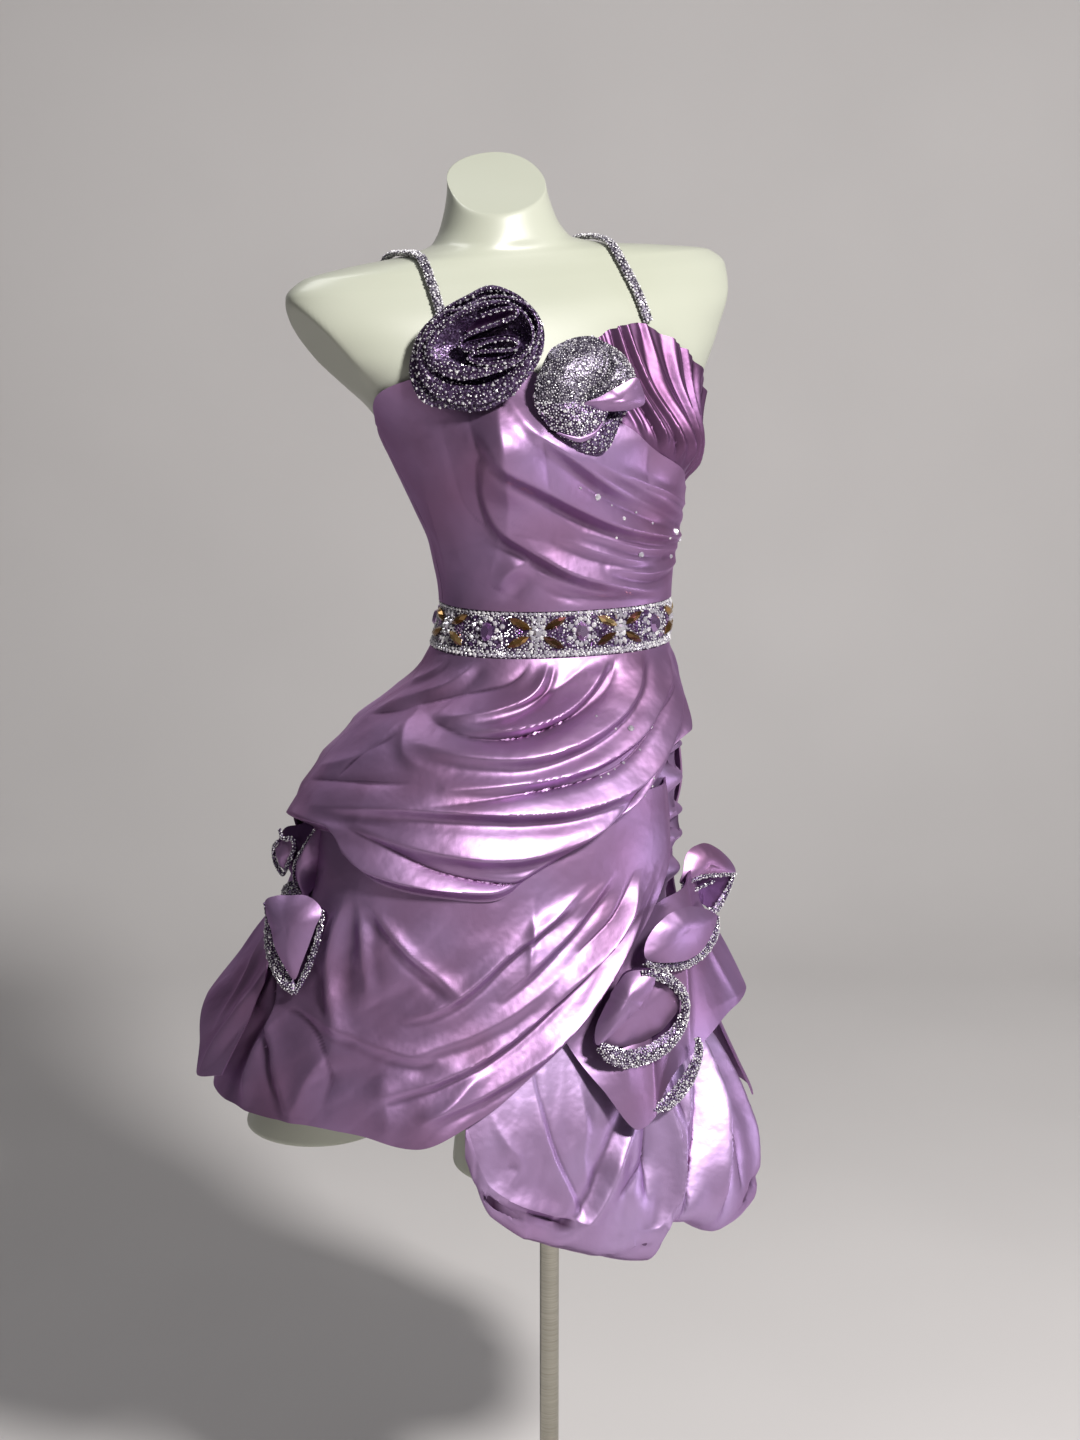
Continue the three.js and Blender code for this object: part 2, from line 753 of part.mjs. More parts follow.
const DRAPE_LIFT = 11;
const HEM_TURN = 13; // height over which the drape's hem turns in to the layer under it
const drapeLift = (z) => DRAPE_LIFT * smooth((skirtTop - z) / 70);

function drapePoint(angle, z) {
  const side = smooth((angle - DRAPE_RIGHT) / 10) * smooth((DRAPE_LEFT - angle) / 12);
  const folds = foldHeight(DRAPE_FOLDS, angle, z) * smooth((skirtTop - z) / 16) * side;
  const turned = smooth(1 - (z - DRAPE_HEM.at("z", angle)) / HEM_TURN);
  const resting = fanOffset(angle, z) + CLOTH + 0.8;
  return overSkirt(angle, z, mix(drapeLift(z) + folds, resting, turned * smooth((60 - angle) / 20)));
}

const fanOffset = (angle, z) => -1 - caughtIn(angle, z) - 3 * smooth((z - 800) / 60);

// The side seam's corner of the hem stands out a little.
const cornerLift = (angle, z) => 8 * bell((angle + 94) / 12) * smooth((690 - z) / 90);

function fanLift(angle, z) {
  const folds = foldHeight(FAN_FOLDS, angle, z) * smooth((790 - z) / 60);
  return fanOffset(angle, z) + folds + cornerLift(angle, z);
}

function backLift(angle, z) {
  const flared = BACK_FLUTES.reduce((sum, flute) => {
    const wave = bell((angle - flute.angle) / FLUTE_SPREAD) * flute.rise;
    return sum + wave * smooth((760 - z) / 150);
  }, 0);
  const edges = smooth((angle - 86) / 14) * smooth((260 - angle) / 14) * smooth((skirtTop - z) / 16);
  const folds = foldHeight(BACK_FOLDS, angle, z) * edges;
  const low = smooth((850 - z) / 60);
  const corner = cornerLift(angle - 360, z);
  return drapeLift(z) * (1 - low) - low + folds + flared + corner - caughtIn(angle - 360, z);
}

const FLOUNCE_TIP = { angle: -113, spread: 12, reach: 56, top: 742, bottom: 652 };

function flouncePoint(angle, z) {
  const under = Math.max(fanLift(angle, z), backLift(angle + 360, z));
  const down = Math.max(0, (FLOUNCE_TIP.top - z) / (FLOUNCE_TIP.top - FLOUNCE_TIP.bottom));
  const tip = FLOUNCE_TIP.reach * down * bell((angle - FLOUNCE_TIP.angle) / FLOUNCE_TIP.spread);
  const pleat = 8 * bell((angle + 92) / 5) * smooth(down);
  const lift = mix(6.8, 2.9, bell((angle + 88) / 4) * smooth((z - 730) / 20));
  return overSkirt(angle, z, under + lift + tip + pleat);
}

// Inside the drape the bubble lies between the form and the skirt's shell.
const HIP = 745;
const UNDERLAYER_OFFSET = 2.5;

function bubblePoint(angle, z, top) {
  const low = overSkirt(angle, z, bubbleOffset(z) + bubbleFold(angle, z));
  const high = overForm(angle, Math.max(z, HIP), UNDERLAYER_OFFSET);
  high.z = z;
  high.lerp(overSkirt(angle, z, 0), 0.62 * smooth((top - z) / (top - HIP)));
  return high.lerp(low, smooth((800 - z) / 70));
}

const bubbleOffset = (z) => -21 + 15 * smooth((700 - z) / 160);

function bubbleFold(angle, z) {
  const grow = smooth((700 - z) / 200);
  const crest = (fold) => fold.depth * bell((angle - fold.angle) / fold.spread);
  return BUBBLE_FOLDS.reduce((sum, fold) => sum + crest(fold), 0) * grow;
}

// The hem curls under: each step goes further in and then up again.
const BUBBLE_CURL = [
  { drop: 16, inward: 2 },
  { drop: 4, inward: 12 },
  { drop: 0, inward: 27 },
  { drop: 8, inward: 42 },
  { drop: 24, inward: 50 },
];

// It lies under the front's hem, and stands clear of it below.
function cascadePoint(angle, z) {
  const out = smooth((FAN_HEM.at("z", angle) - 10 - z) / 60);
  const tip = 50 * bell((angle - 68) / 13) * clamp01((734 - z) / 82);
  const wave = 5 * Math.sin((angle - 14) * 0.22) * out;
  const under = mix(-8.5, -3.4, smooth((z - 722) / 22));
  return overSkirt(angle, z, mix(under, 8, out) + tip + wave);
}

const HEM_CROWDING = 1.2; // above 1, rows lie closer together towards the hem

function panelGrid(columns, rows, from, to, topOf, hem, point) {
  return gridOf(rows, columns, (c, r) => {
    const angle = mix(from, to, c / (columns - 1));
    return point(angle, mix(hem.at("z", angle), topOf(angle), (r / (rows - 1)) ** HEM_CROWDING));
  });
}

const drapeGeometry = () =>
  clothWall(panelGrid(38, 13, DRAPE_RIGHT, DRAPE_LEFT, () => skirtTop, DRAPE_HEM, drapePoint));

const fanTop = (angle) => Math.min(864, DRAPE_HEM.at("z", angle) + 34);

const fanPoint = (angle, z) => overSkirt(angle, z, fanLift(angle, z));
const backPoint = (angle, z) => overSkirt(angle, z, backLift(angle, z));

const fanGeometry = () => clothWall(panelGrid(28, 10, FAN_RIGHT, FAN_LEFT, fanTop, FAN_HEM, fanPoint));

const BACK_LEFT = DRAPE_LEFT + 0.4;
const BACK_RIGHT = 360 + DRAPE_RIGHT - 0.4;
const backGeometry = () =>
  clothWall(panelGrid(34, 10, BACK_LEFT, BACK_RIGHT, () => skirtTop, BACK_HEM, backPoint));

const flounceGeometry = () =>
  clothWall(panelGrid(12, 7, FLOUNCE_BACK, FLOUNCE_FRONT, () => FLOUNCE_TOP, FLOUNCE_HEM, flouncePoint));

const cascadeTop = (angle) => 742 + 0.4 * angle;

const cascadeGeometry = () =>
  clothWall(panelGrid(15, 8, CASCADE_RIGHT, CASCADE_LEFT, cascadeTop, CASCADE_HEM, cascadePoint));

function bubbleGeometry() {
  const columns = 36;
  const straightRows = 8;
  const rows = straightRows + BUBBLE_CURL.length;
  const grid = gridOf(rows, columns, (c, r) => {
    const angle = mix(BUBBLE_RIGHT, BUBBLE_LEFT, c / (columns - 1));
    const hem = BUBBLE_HEM.at("z", angle);
    if (r < BUBBLE_CURL.length) {
      const curl = BUBBLE_CURL[BUBBLE_CURL.length - 1 - r];
      const z = hem + curl.drop;
      return overSkirt(angle, z, bubbleOffset(hem) + bubbleFold(angle, hem) * 0.9 - curl.inward);
    }
    const top = BUBBLE_TOP.at("z", angle);
    const z = mix(hem + 34, top, (r - BUBBLE_CURL.length) / (straightRows - 1));
    return bubblePoint(angle, z, top);
  });
  return clothWall(grid);
}

// Fabric roses: a strip of cloth rolled in a spiral, standing on its inner edge and flaring outwards.
// face is the way it looks (angle), lift how far it looks up, roll turns it about its own axis.
const ROSE = [
  "name", "x", "y", "z", "face", "lift", "roll", "width", "height", "depth",
  "turns", "first", "steps", "waves",
];
const ROSES = [
  ["rose_bust_large", -107.3, -84, 1257, -36, 8, 20, 130, 112, 24, 3.1, 0.12, 56, 5],
  ["rose_bust_small", -20, -118.5, 1212, -4, 8, -70, 92, 122, 26, 1.9, 0.14, 36, 3],
  ["petals_right_upper", -241.8, 9.4, 803, -84, 0, 60, 56, 74, 24, 1.9, 0.2, 28, 3],
  ["petals_right_lower", -258, -43, 739, -64, 8, 100, 76, 104, 26, 1.5, 0.2, 24, 3],
  ["petals_left_upper", 133, -47.5, 766, 60, 5, 200, 78, 84, 26, 1.7, 0.2, 24, 3],
  ["petals_left_middle", 65, -132, 735, 30, 0, 150, 98, 82, 24, 1.6, 0.2, 26, 3],
  ["petals_left_lower", 6, -163, 684, 6, 0, 120, 112, 112, 26, 1.6, 0.2, 28, 3],
  ["petals_left_tail", 40, -165, 614, 20, 0, 250, 78, 78, 16, 0.45, 0.9, 10, 0],
].map((row) => Object.fromEntries(ROSE.map((name, i) => [name, row[i]])));

function roseGeometry(rose) {
  const out = new THREE.Vector3(0, -1, 0);
  const across = new THREE.Vector3(1, 0, 0);
  const up = new THREE.Vector3(0, 0, 1);
  const turn = new THREE.Euler(-rose.lift * DEGREE, 0, rose.face * DEGREE, "ZXY");
  for (const axis of [out, across, up]) axis.applyEuler(turn);
  const rows = 3;
  const grid = gridOf(rows, rose.steps + 1, (c, r) => {
    const share = c / rose.steps;
    const spin = (share * rose.turns * 360 + rose.roll) * DEGREE;
    const flare = r / (rows - 1);
    const wave = 1 + 0.07 * Math.sin(rose.waves * spin * 0.77) * share * flare;
    const tucked = smooth((1 - share) / 0.12); // the strip's end lies down
    const size = mix(rose.first, 1, share) * (0.62 + 0.38 * mix(0.45, 1, tucked) * flare ** 0.8) * wave;
    const rise = rose.depth * mix(1.15, 0.55, share) * mix(0.3, 1, tucked);
    const stand = flare * (rise + 3 * share * Math.sin(2.3 * spin));
    return new THREE.Vector3(rose.x, rose.y, rose.z)
      .addScaledVector(across, (size * rose.width * Math.cos(spin)) / 2)
      .addScaledVector(up, (size * rose.height * Math.sin(spin)) / 2)
      .addScaledVector(out, stand);
  });
  return clothWall(grid, 1.8);
}

// Colours and finishes
const satin = { color: "#a77bb5", roughness: 0.35, metalness: 0.0 };
const beaded = { color: "#8f8796", roughness: 0.3, metalness: 0.5 };
const FORM_FINISH = { color: "#e9ece0", roughness: 0.3, metalness: 0.0 };
const STEEL_FINISH = { color: "#a9a79c", roughness: 0.3, metalness: 1.0 };

const dress = new THREE.Group();

function add(name, geometry, finish) {
  const mesh = new THREE.Mesh(geometry, new THREE.MeshStandardMaterial(finish));
  mesh.name = name;
  dress.add(mesh);
}

add("dress_form", formGeometry(), FORM_FINISH);
add("stand_pole", poleGeometry(), STEEL_FINISH);
add("stand_base", baseGeometry(), STEEL_FINISH);
add("bodice_front", bodiceFrontGeometry(), satin);
add("bodice_cup_left", cupGeometry(), satin);
add("bodice_back", bodiceBackGeometry(), satin);
for (const strap of STRAPS) add(strap.name, strapGeometry(strap), beaded);
add("waistband", waistbandGeometry(), beaded);
add("skirt_drape", drapeGeometry(), satin);
add("skirt_front", fanGeometry(), satin);
add("skirt_back", backGeometry(), satin);
add("skirt_bubble", bubbleGeometry(), satin);
add("skirt_cascade", cascadeGeometry(), satin);
add("skirt_flounce", flounceGeometry(), satin);
for (const rose of ROSES) add(rose.name, roseGeometry(rose), rose.name.startsWith("rose") ? beaded : satin);

export default dress;
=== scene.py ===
"""Looks of a short satin dress on a limbless dress form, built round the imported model.

Sizes in the tables are millimetres in the model's frame: +Z up, -Y the dress's front,
+X the wearer's left. Angles are degrees round the body: 0 is the front, 90 the wearer's left.
"""

import math

import bpy
import numpy as np
from bpy.props import FloatProperty, FloatVectorProperty, IntProperty, PointerProperty
from bpy.types import Operator, Panel, PropertyGroup
from mathutils import Matrix, Vector


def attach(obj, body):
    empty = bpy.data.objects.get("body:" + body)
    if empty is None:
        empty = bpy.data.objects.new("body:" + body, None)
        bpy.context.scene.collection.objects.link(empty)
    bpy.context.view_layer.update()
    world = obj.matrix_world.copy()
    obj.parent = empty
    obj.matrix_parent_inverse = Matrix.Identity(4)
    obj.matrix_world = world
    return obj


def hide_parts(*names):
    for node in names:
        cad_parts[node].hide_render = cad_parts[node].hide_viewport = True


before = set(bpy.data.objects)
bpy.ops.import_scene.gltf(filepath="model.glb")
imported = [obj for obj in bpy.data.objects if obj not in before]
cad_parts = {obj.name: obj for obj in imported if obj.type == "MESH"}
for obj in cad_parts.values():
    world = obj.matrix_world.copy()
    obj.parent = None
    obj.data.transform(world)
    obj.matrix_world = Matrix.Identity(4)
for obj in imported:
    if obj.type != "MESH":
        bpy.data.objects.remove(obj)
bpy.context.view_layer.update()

bl_info = {
    "name": "Draped satin dress",
    "version": (1, 0, 0),
    "blender": (4, 5, 0),
    "location": "View3D > Sidebar > Dress",
    "description": "Builds a draped satin dress on its dress form",
    "category": "Object",
}

MM = 0.001


# Curves and tables


def bell(x):
    return np.exp(-np.square(x))


def smooth(x):
    x = np.clip(x, 0.0, 1.0)
    return x * x * (3 - 2 * x)


def mix(a, b, t):
    return a + (b - a) * t


class Table:
    """Rows with named columns, looked up by the first one along a curve that never overshoots."""

    def __init__(self, names, rows):
        data = np.array(rows, float)
        self.keys = data[:, 0]
        self.columns = {}
        for i, name in enumerate(names[1:], 1):
            y = data[:, i]
            rise = np.diff(y) / np.diff(self.keys)
            slope = np.empty_like(y)
            slope[0], slope[-1] = rise[0], rise[-1]
            product = rise[:-1] * rise[1:]
            total = np.where(product > 0, rise[:-1] + rise[1:], 1.0)
            slope[1:-1] = np.where(product > 0, 2 * product / total, 0.0)
            self.columns[name] = (y, slope)

    def at(self, name, key):
        y, slope = self.columns[name]
        key = np.clip(key, self.keys[0], self.keys[-1])
        i = np.clip(np.searchsorted(self.keys, key, side="right") - 1, 0, len(y) - 2)
        h = self.keys[i + 1] - self.keys[i]
        t = (key - self.keys[i]) / h
        rise = y[i] * (1 + 2 * t) * (1 - t) ** 2 + y[i + 1] * t * t * (3 - 2 * t)
        return rise + h * t * (1 - t) * (slope[i] * (1 - t) - slope[i + 1] * t)


def edge_line(places):
    """An edge of cloth through (angle, height) places, as a function of the angle."""
    line = Table(("angle", "z"), places)
    return lambda angle: line.at("z", angle)


SECTION = ("z", "cx", "cy", "right", "left", "front", "back")

# The form, from the crotch to the neck.
FORM = Table(SECTION, [
    (700, -84, 10, 70, 70, 50, 60),
    (716, -80, 9, 122, 122, 78, 90),
    (745, -74, 8, 150, 150, 92, 106),
    (790, -60, 5, 157, 155, 98, 112),
    (835, -46, 2, 154, 150, 99, 110),
    (900, -22, -1, 138, 131, 94, 99),
    (960, -2, 0, 117, 111, 86, 86),
    (987, 3, 0, 111, 106, 83, 82),
    (1028, 6, 0, 104, 103, 80, 78),
    (1080, 3, 0, 110, 110, 85, 84),
    (1120, -2, 0, 122, 121, 91, 91),
    (1165, -7, 1, 139, 137, 95, 97),
    (1195, -11, 3, 150, 146, 97, 100),
    (1230, -16, 8, 176, 168, 92, 99),
    (1262, -21, 13, 200, 194, 84, 93),
    (1294, -25, 17, 213, 213, 73, 84),
    (1316, -28, 21, 210, 213, 61, 72),
    (1330, -30, 24, 192, 200, 53, 63),
    (1338, -32, 26, 148, 148, 50, 58),
    (1344, -34, 28, 92, 92, 49, 56),
    (1352, -35, 30, 62, 62, 50, 55),
    (1374, -36, 34, 49, 49, 47, 50),
    (1400, -36, 38, 43, 43, 44, 46),
    (1440, -37, 41, 41, 41, 43, 44),
])

# The skirt's common shell, which every layer of it is offset from.
SKIRT = Table(SECTION, [
    (425, -66, 12, 290, 290, 204, 212),
    (500, -66, 12, 284, 276, 198, 208),
    (540, -66, 12, 272, 258, 192, 203),
    (592, -65, 11, 256, 232, 184, 194),
    (650, -63, 10, 232, 208, 171, 182),
    (700, -60, 8, 212, 197, 160, 170),
    (740, -58, 7, 206, 190, 153, 162),
    (785, -55, 6, 204, 184, 146, 155),
    (825, -50, 4, 197, 177, 139, 146),
    (855, -42, 2, 188, 167, 131, 138),
    (890, -30, 0, 173, 150, 121, 127),
    (925, -15, 0, 153, 129, 109, 112),
    (960, 0, 0, 126, 114, 96, 97),
    (987, 3, 0, 115, 110, 87, 86),
])

ROUNDNESS = 2.2
BUST = {"angle": 36, "height": 1172, "spread": 23, "rise": 40, "depth": 27}
TILT = {"slope": 0.075, "start": 1190, "run": 110}


def tilt_at(z):
    """The left shoulder stands higher: height gained for each millimetre towards it."""
    return TILT["slope"] * smooth((z - TILT["start"]) / TILT["run"])


def bust_at(angle, z, bridge):
    past = np.abs(angle) - BUST["angle"]
    across = bell(past / BUST["spread"])
    across = np.where(past > 0, across, np.maximum(across, bridge))
    return BUST["depth"] * across * bell((z - BUST["height"]) / BUST["rise"])


def reach(table, angle, z):
    """Distance from a section's centre at an angle."""
    s = np.sin(np.radians(angle))
    c = np.cos(np.radians(angle))
    across = np.abs(s) / np.where(s < 0, table.at("right", z), table.at("left", z))
    along = np.abs(c) / np.where(c > 0, table.at("front", z), table.at("back", z))
    return (across**ROUNDNESS + along**ROUNDNESS) ** (-1 / ROUNDNESS)


def polar(table, angle, z, radius):
    x = table.at("cx", z) + radius * np.sin(np.radians(angle))
    y = table.at("cy", z) - radius * np.cos(np.radians(angle))
    return np.stack(np.broadcast_arrays(x, y, z), -1).astype(float)


def over_form(angle, z, offset, bridge=0.72):
    """Points over the torso. bridge is 1 where cloth spans the bust and 0 on the form itself."""
    points = polar(FORM, angle, z, reach(FORM, angle, z) + bust_at(angle, z, bridge) + offset)
    points[..., 2] += tilt_at(z) * points[..., 0]
    return points


def over_skirt(angle, z, offset):
    angle = np.where(angle > 180, angle - 360, angle)
    return polar(SKIRT, angle, z, reach(SKIRT, angle, z) + offset)


# Folds. Each follows a line of (angle, height) places. above and below are the half widths
# of its two slopes, and depth is its rise at the crest, negative for a crease.

CREST_POWER = 1.45
CREASE_POWER = 1.2
# A smaller power keeps a fold high for longer towards its ends.
FOLD_ENDS = 0.7
# How far the cloth dips beside a crest, as a share of its rise.
DIP = 0.38


CORNER_CUTS = 3


def smoothed_line(places, scale):
    """A fold's line in millimetres, with its corners cut to a curve."""
    line = np.array(places, float) * (scale, 1.0)
    for _ in range(CORNER_CUTS):
        a, b = line[:-1], line[1:]
        cut = np.stack([0.75 * a + 0.25 * b, 0.25 * a + 0.75 * b], 1).reshape(-1, 2)
        line = np.vstack([line[:1], cut, line[-1:]])
    return line[:: 2 if len(line) > 40 else 1]


def fold_height(folds, scale, angle, z, power=CREST_POWER):
    """Height of all folds at places on the cloth. scale is millimetres per degree.

    A power of 2 rounds the crests and 1 draws them as creased edges.
    """
    x = angle * scale
    total = np.zeros(np.broadcast(x, z).shape)
    for places, above, below, depth in folds:
        line = smoothed_line(places, scale)
        steps = np.hypot(*np.diff(line, axis=0).T)
        run = np.concatenate([[0.0], np.cumsum(steps)])
        flip = -1 if line[-1, 0] < line[0, 0] else 1
        near = np.full(total.shape, np.inf)
        side = np.zeros(total.shape)
        along = np.zeros(total.shape)
        for k, ((x0, z0), (x1, z1)) in enumerate(zip(line[:-1], line[1:])):
            dx, dz = x1 - x0, z1 - z0
            t = np.clip(((x - x0) * dx + (z - z0) * dz) / max(dx * dx + dz * dz, 1e-9), 0, 1)
            away = np.hypot(x - x0 - t * dx, z - z0 - t * dz)
            closer = away < near
            near = np.where(closer, away, near)
            turn = (dx * (z - z0) - dz * (x - x0)) * flip
            side = np.where(closer, turn / (max(steps[k], 1e-6) * np.maximum(away, 1e-6)), side)
            along = np.where(closer, (run[k] + t * steps[k]) / run[-1], along)
        width = mix(below, above, 0.5 + 0.5 * np.clip(side, -1, 1))
        fade = np.sin(np.pi * np.clip(0.04 + 0.92 * along, 0, 1)) ** FOLD_ENDS
        if depth > 0:
            # The cloth dips where the steeper slope runs out.
            narrow = min(above, below)
            steep = 0.5 + 0.5 * np.clip(side if above < below else -side, -1, 1)
            dip = DIP * steep * bell((near - 2.0 * narrow) / (1.1 * narrow)) * (above != below)
            rise = np.exp(-((near / width) ** power)) - dip
        else:
            rise = np.exp(-((near / width) ** CREASE_POWER))
        total += depth * rise * fade
    return total


def ripple(angle, z, scale, size, seed, heading=90, spread=60):
    """Shallow unevenness of hung cloth, as crossing waves. heading points across its folds."""
    random = np.random.default_rng(seed)
    x = angle * scale
    total = 0.0
    for _ in range(9):
        turn = math.radians(heading + random.uniform(-spread, spread))
        length = random.uniform(22, 80)
        phase = random.uniform(0, 2 * math.pi)
        bend = 3 * np.sin(x / random.uniform(30, 60) + phase)
        bend = bend + 3 * np.sin(z / random.uniform(30, 60))
        run = (x * math.cos(turn) + z * math.sin(turn) + bend) * 2 * math.pi / length + phase
        total = total + length / 60 * np.sin(run + 0.5 * np.sin(run))
    return size * total / 6


# Meshes


def grid_normals(grid, wraps=False):
    if wraps:
        along = np.roll(grid, -1, 1) - np.roll(grid, 1, 1)
    else:
        along = np.gradient(grid, axis=1)
    normals = np.cross(along, np.gradient(grid, axis=0))
    size = np.linalg.norm(normals, axis=-1, keepdims=True)
    return normals / np.maximum(size, 1e-9)


def object_from(name, points, faces, attributes, smooth_angle=50):
    """A mesh object from points in millimetres and faces as lists of corners."""
    mesh = bpy.data.meshes.new(name)
    mesh.from_pydata((np.asarray(points, float) * MM).tolist(), [], faces)
    for key, values in attributes.items():
        layer = mesh.attributes.new(key, "FLOAT", "POINT")
        layer.data.foreach_set("value", np.asarray(values, np.float32))
    mesh.polygons.foreach_set("use_smooth", [True] * len(mesh.polygons))
    mesh.set_sharp_from_angle(angle=math.radians(smooth_angle))
    mesh.update()
    item = bpy.data.objects.new(name, mesh)
    bpy.context.scene.collection.objects.link(item)
    return item


def quads(ids):
    """The faces between the rows and columns of a grid of point numbers."""
    corners = [ids[:-1, :-1], ids[:-1, 1:], ids[1:, 1:], ids[1:, :-1]]
    return np.stack(corners, -1).reshape(-1, 4)


def ringed(ids):
    """Repeats the first column after the last, so that the rows close into rings."""
    return np.hstack([ids, ids[:, :1]])


# A first ring of a closed cloth that is smaller than this is filled in.
SMALL_RING = 4


def cloth(name, grid, thickness, coarse=3, beads=False, closed=False):
    """A cloth wall: a fine outer face, a coarser inner face and a rim.

    Rows and columns of the grid are one more than a multiple of coarse. The columns of a closed
    one meet again round a ring. beads marks the outer face for them.
    """
    inner = (grid - thickness * grid_normals(grid, closed))[::coarse, ::coarse]
    outer_count, inner_count = grid.size // 3, inner.size // 3
    points = np.vstack([grid.reshape(-1, 3), inner.reshape(-1, 3)])
    out = np.arange(outer_count).reshape(grid.shape[:2])
    back = np.arange(inner_count).reshape(inner.shape[:2]) + outer_count
    if closed:
        out, back = ringed(out), ringed(back)
    faces = quads(out).tolist() + quads(back)[:, [0, 3, 2, 1]].tolist()

    def rim(outer_edge, inner_edge, flip):
        for j in range(len(inner_edge) - 1):
            strip = outer_edge[j * coarse : (j + 1) * coarse + 1].tolist()
            ring = [strip[0], int(inner_edge[j]), int(inner_edge[j + 1])] + strip[:0:-1]
            faces.append(ring[::-1] if flip else ring)

    if closed and np.ptp(grid[0], axis=0).max() < SMALL_RING:
        faces += [out[0, :0:-1].tolist(), back[0, :-1].tolist()]
    else:
        rim(out[0], back[0], False)
    rim(out[-1], back[-1], True)
    if not closed:
        rim(out[:, 0], back[:, 0], True)
        rim(out[:, -1], back[:, -1], False)
    marks = {"beads": np.repeat([1.0, 0.0], [outer_count, inner_count])} if beads else {}
    return object_from(name, points, faces, marks)


def skin(name, rings, beads=False, smooth_angle=50):
    """A capped solid skinned over closed rings, given as an array of (ring, corner, xyz)."""
    ids = ringed(np.arange(rings.size // 3).reshape(rings.shape[:2]))
    faces = quads(ids).tolist()
    points = np.vstack([rings.reshape(-1, 3), rings[0].mean(0), rings[-1].mean(0)])
    low, high = len(points) - 2, len(points) - 1
    faces += [[low, int(b), int(a)] for a, b in zip(ids[0], ids[0, 1:])]
    faces += [[high, int(a), int(b)] for a, b in zip(ids[-1], ids[-1, 1:])]
    marks = {"beads": np.ones(len(points))} if beads else {}
    return object_from(name, points, faces, marks, smooth_angle)


def circle(radius, sides, x=0.0, y=0.0, z=0.0):
    """A level ring of points round (x, y)."""
    turn = np.linspace(0, 2 * np.pi, sides, endpoint=False)
    return np.stack([x + radius * np.sin(turn), y - radius * np.cos(turn), np.full(sides, z)], -1)


def lathe(name, profile, sides=96):
    """A turned solid from (radius, height) pairs, bottom to top."""
    rings = np.array([circle(radius, sides, z=z) for radius, z in profile])
    return skin(name, rings, smooth_angle=40)


def join(name, items):
    """Joins mesh objects into the first, keeping its materials."""
    bpy.ops.object.select_all(action="DESELECT")
    for item in items:
        item.select_set(True)
    bpy.context.view_layer.objects.active = items[0]
    bpy.ops.object.join()
    items[0].name = name
    items[0].data.name = name
    return items[0]


# Materials


def linear(hex_colour):
    """An sRGB hex colour as linear RGBA."""
    values = [int(hex_colour[i : i + 2], 16) / 255 for i in (1, 3, 5)]
    return [v / 12.92 if v <= 0.04045 else ((v + 0.055) / 1.055) ** 2.4 for v in values] + [1.0]


def feed(tree, node, inputs):
    """Gives each socket of a node a value or another node's output."""
    for key, value in inputs.items():
        if isinstance(value, bpy.types.NodeSocket):
            tree.links.new(value, node.inputs[key])
        else:
            node.inputs[key].default_value = value
    return node


def put(tree, kind, inputs=None, **settings):
    """Adds one node with its settings and inputs."""
    node = tree.nodes.new(kind)
    for key, value in settings.items():
        setattr(node, key, value)
    return feed(tree, node, inputs or {})


def new_material(name):
    """An empty material, its tree, its shader and its object coordinates."""
    made = bpy.data.materials.new(name)
    made.use_nodes = True
    tree = made.node_tree
    tree.nodes.clear()
    shader = put(tree, "ShaderNodeBsdfPrincipled")
    put(tree, "ShaderNodeOutputMaterial", {"Surface": shader.outputs[0]})
    return made, tree, shader, put(tree, "ShaderNodeTexCoord").outputs["Object"]


def noise(tree, place, scale, detail=2.0):
    inputs = {"Vector": place, "Scale": scale, "Detail": detail}
    return put(tree, "ShaderNodeTexNoise", inputs).outputs["Fac"]


def stretched(tree, place, scale):
    return put(tree, "ShaderNodeMapping", {"Vector": place, "Scale": scale}).outputs[0]


def bump(tree, height, strength, distance, **under):
    """The normal of a bump. Normal= gives the bump that it lies over."""
    inputs = {"Height": height, "Strength": strength, "Distance": distance, **under}
    return put(tree, "ShaderNodeBump", inputs).outputs[0]


def ramp(tree, factor, stops):
    """A colour ramp with stops of a position and a hex colour or a property's colour."""
    node = put(tree, "ShaderNodeValToRGB", {"Fac": factor})
    band = node.color_ramp
    while len(band.elements) < len(stops):
        band.elements.new(0.5)
    for element, (position, colour) in zip(band.elements, stops):
        element.position = position
        element.color = linear(colour) if isinstance(colour, str) else colour
    return node.outputs["Color"]


def duchess_satin(name, deep, light):
    """Duchess satin: long floats of filament yarn give a broad, coloured gloss over a soft body."""
    made, tree, shader, place = new_material(name)
    colour = ramp(tree, noise(tree, place, 9.0), [(0.3, deep), (0.72, light)])
    # Sharp creases are painted a deeper colour: painted shade, standing in for light thrown back and forth
    # between the sides of a fold.
    bend = put(tree, "ShaderNodeNewGeometry").outputs["Pointiness"]
    depth = ramp(tree, bend, [(0.45, "#5c3f58"), (0.499, "#ffffff"), (0.56, "#ffffff")])
    colour_with_painted_shade = put(tree, "ShaderNodeVectorMath", {0: colour, 1: depth}, operation="MULTIPLY")
    # Yarns are 0.15 mm apart; they are drawn 0.9 mm apart so that their grain shows.
    yarns = noise(tree, stretched(tree, place, (1100, 1100, 520)), 1.0)
    hang = bump(tree, noise(tree, place, 26.0, 3.0), 0.3, 0.006)
    feed(tree, shader, {
        "Base Color": colour_with_painted_shade.outputs[0],
        "Metallic": 0.85,
        "Roughness": 0.45,
        "Specular Tint": linear("#d9b8dc"),
        "Sheen Weight": 0.1,
        "Sheen Roughness": 0.4,
        "Sheen Tint": linear("#d9c0ea"),
        "Normal": bump(tree, yarns, 0.16, 0.0003, Normal=hang),
    })
    return made


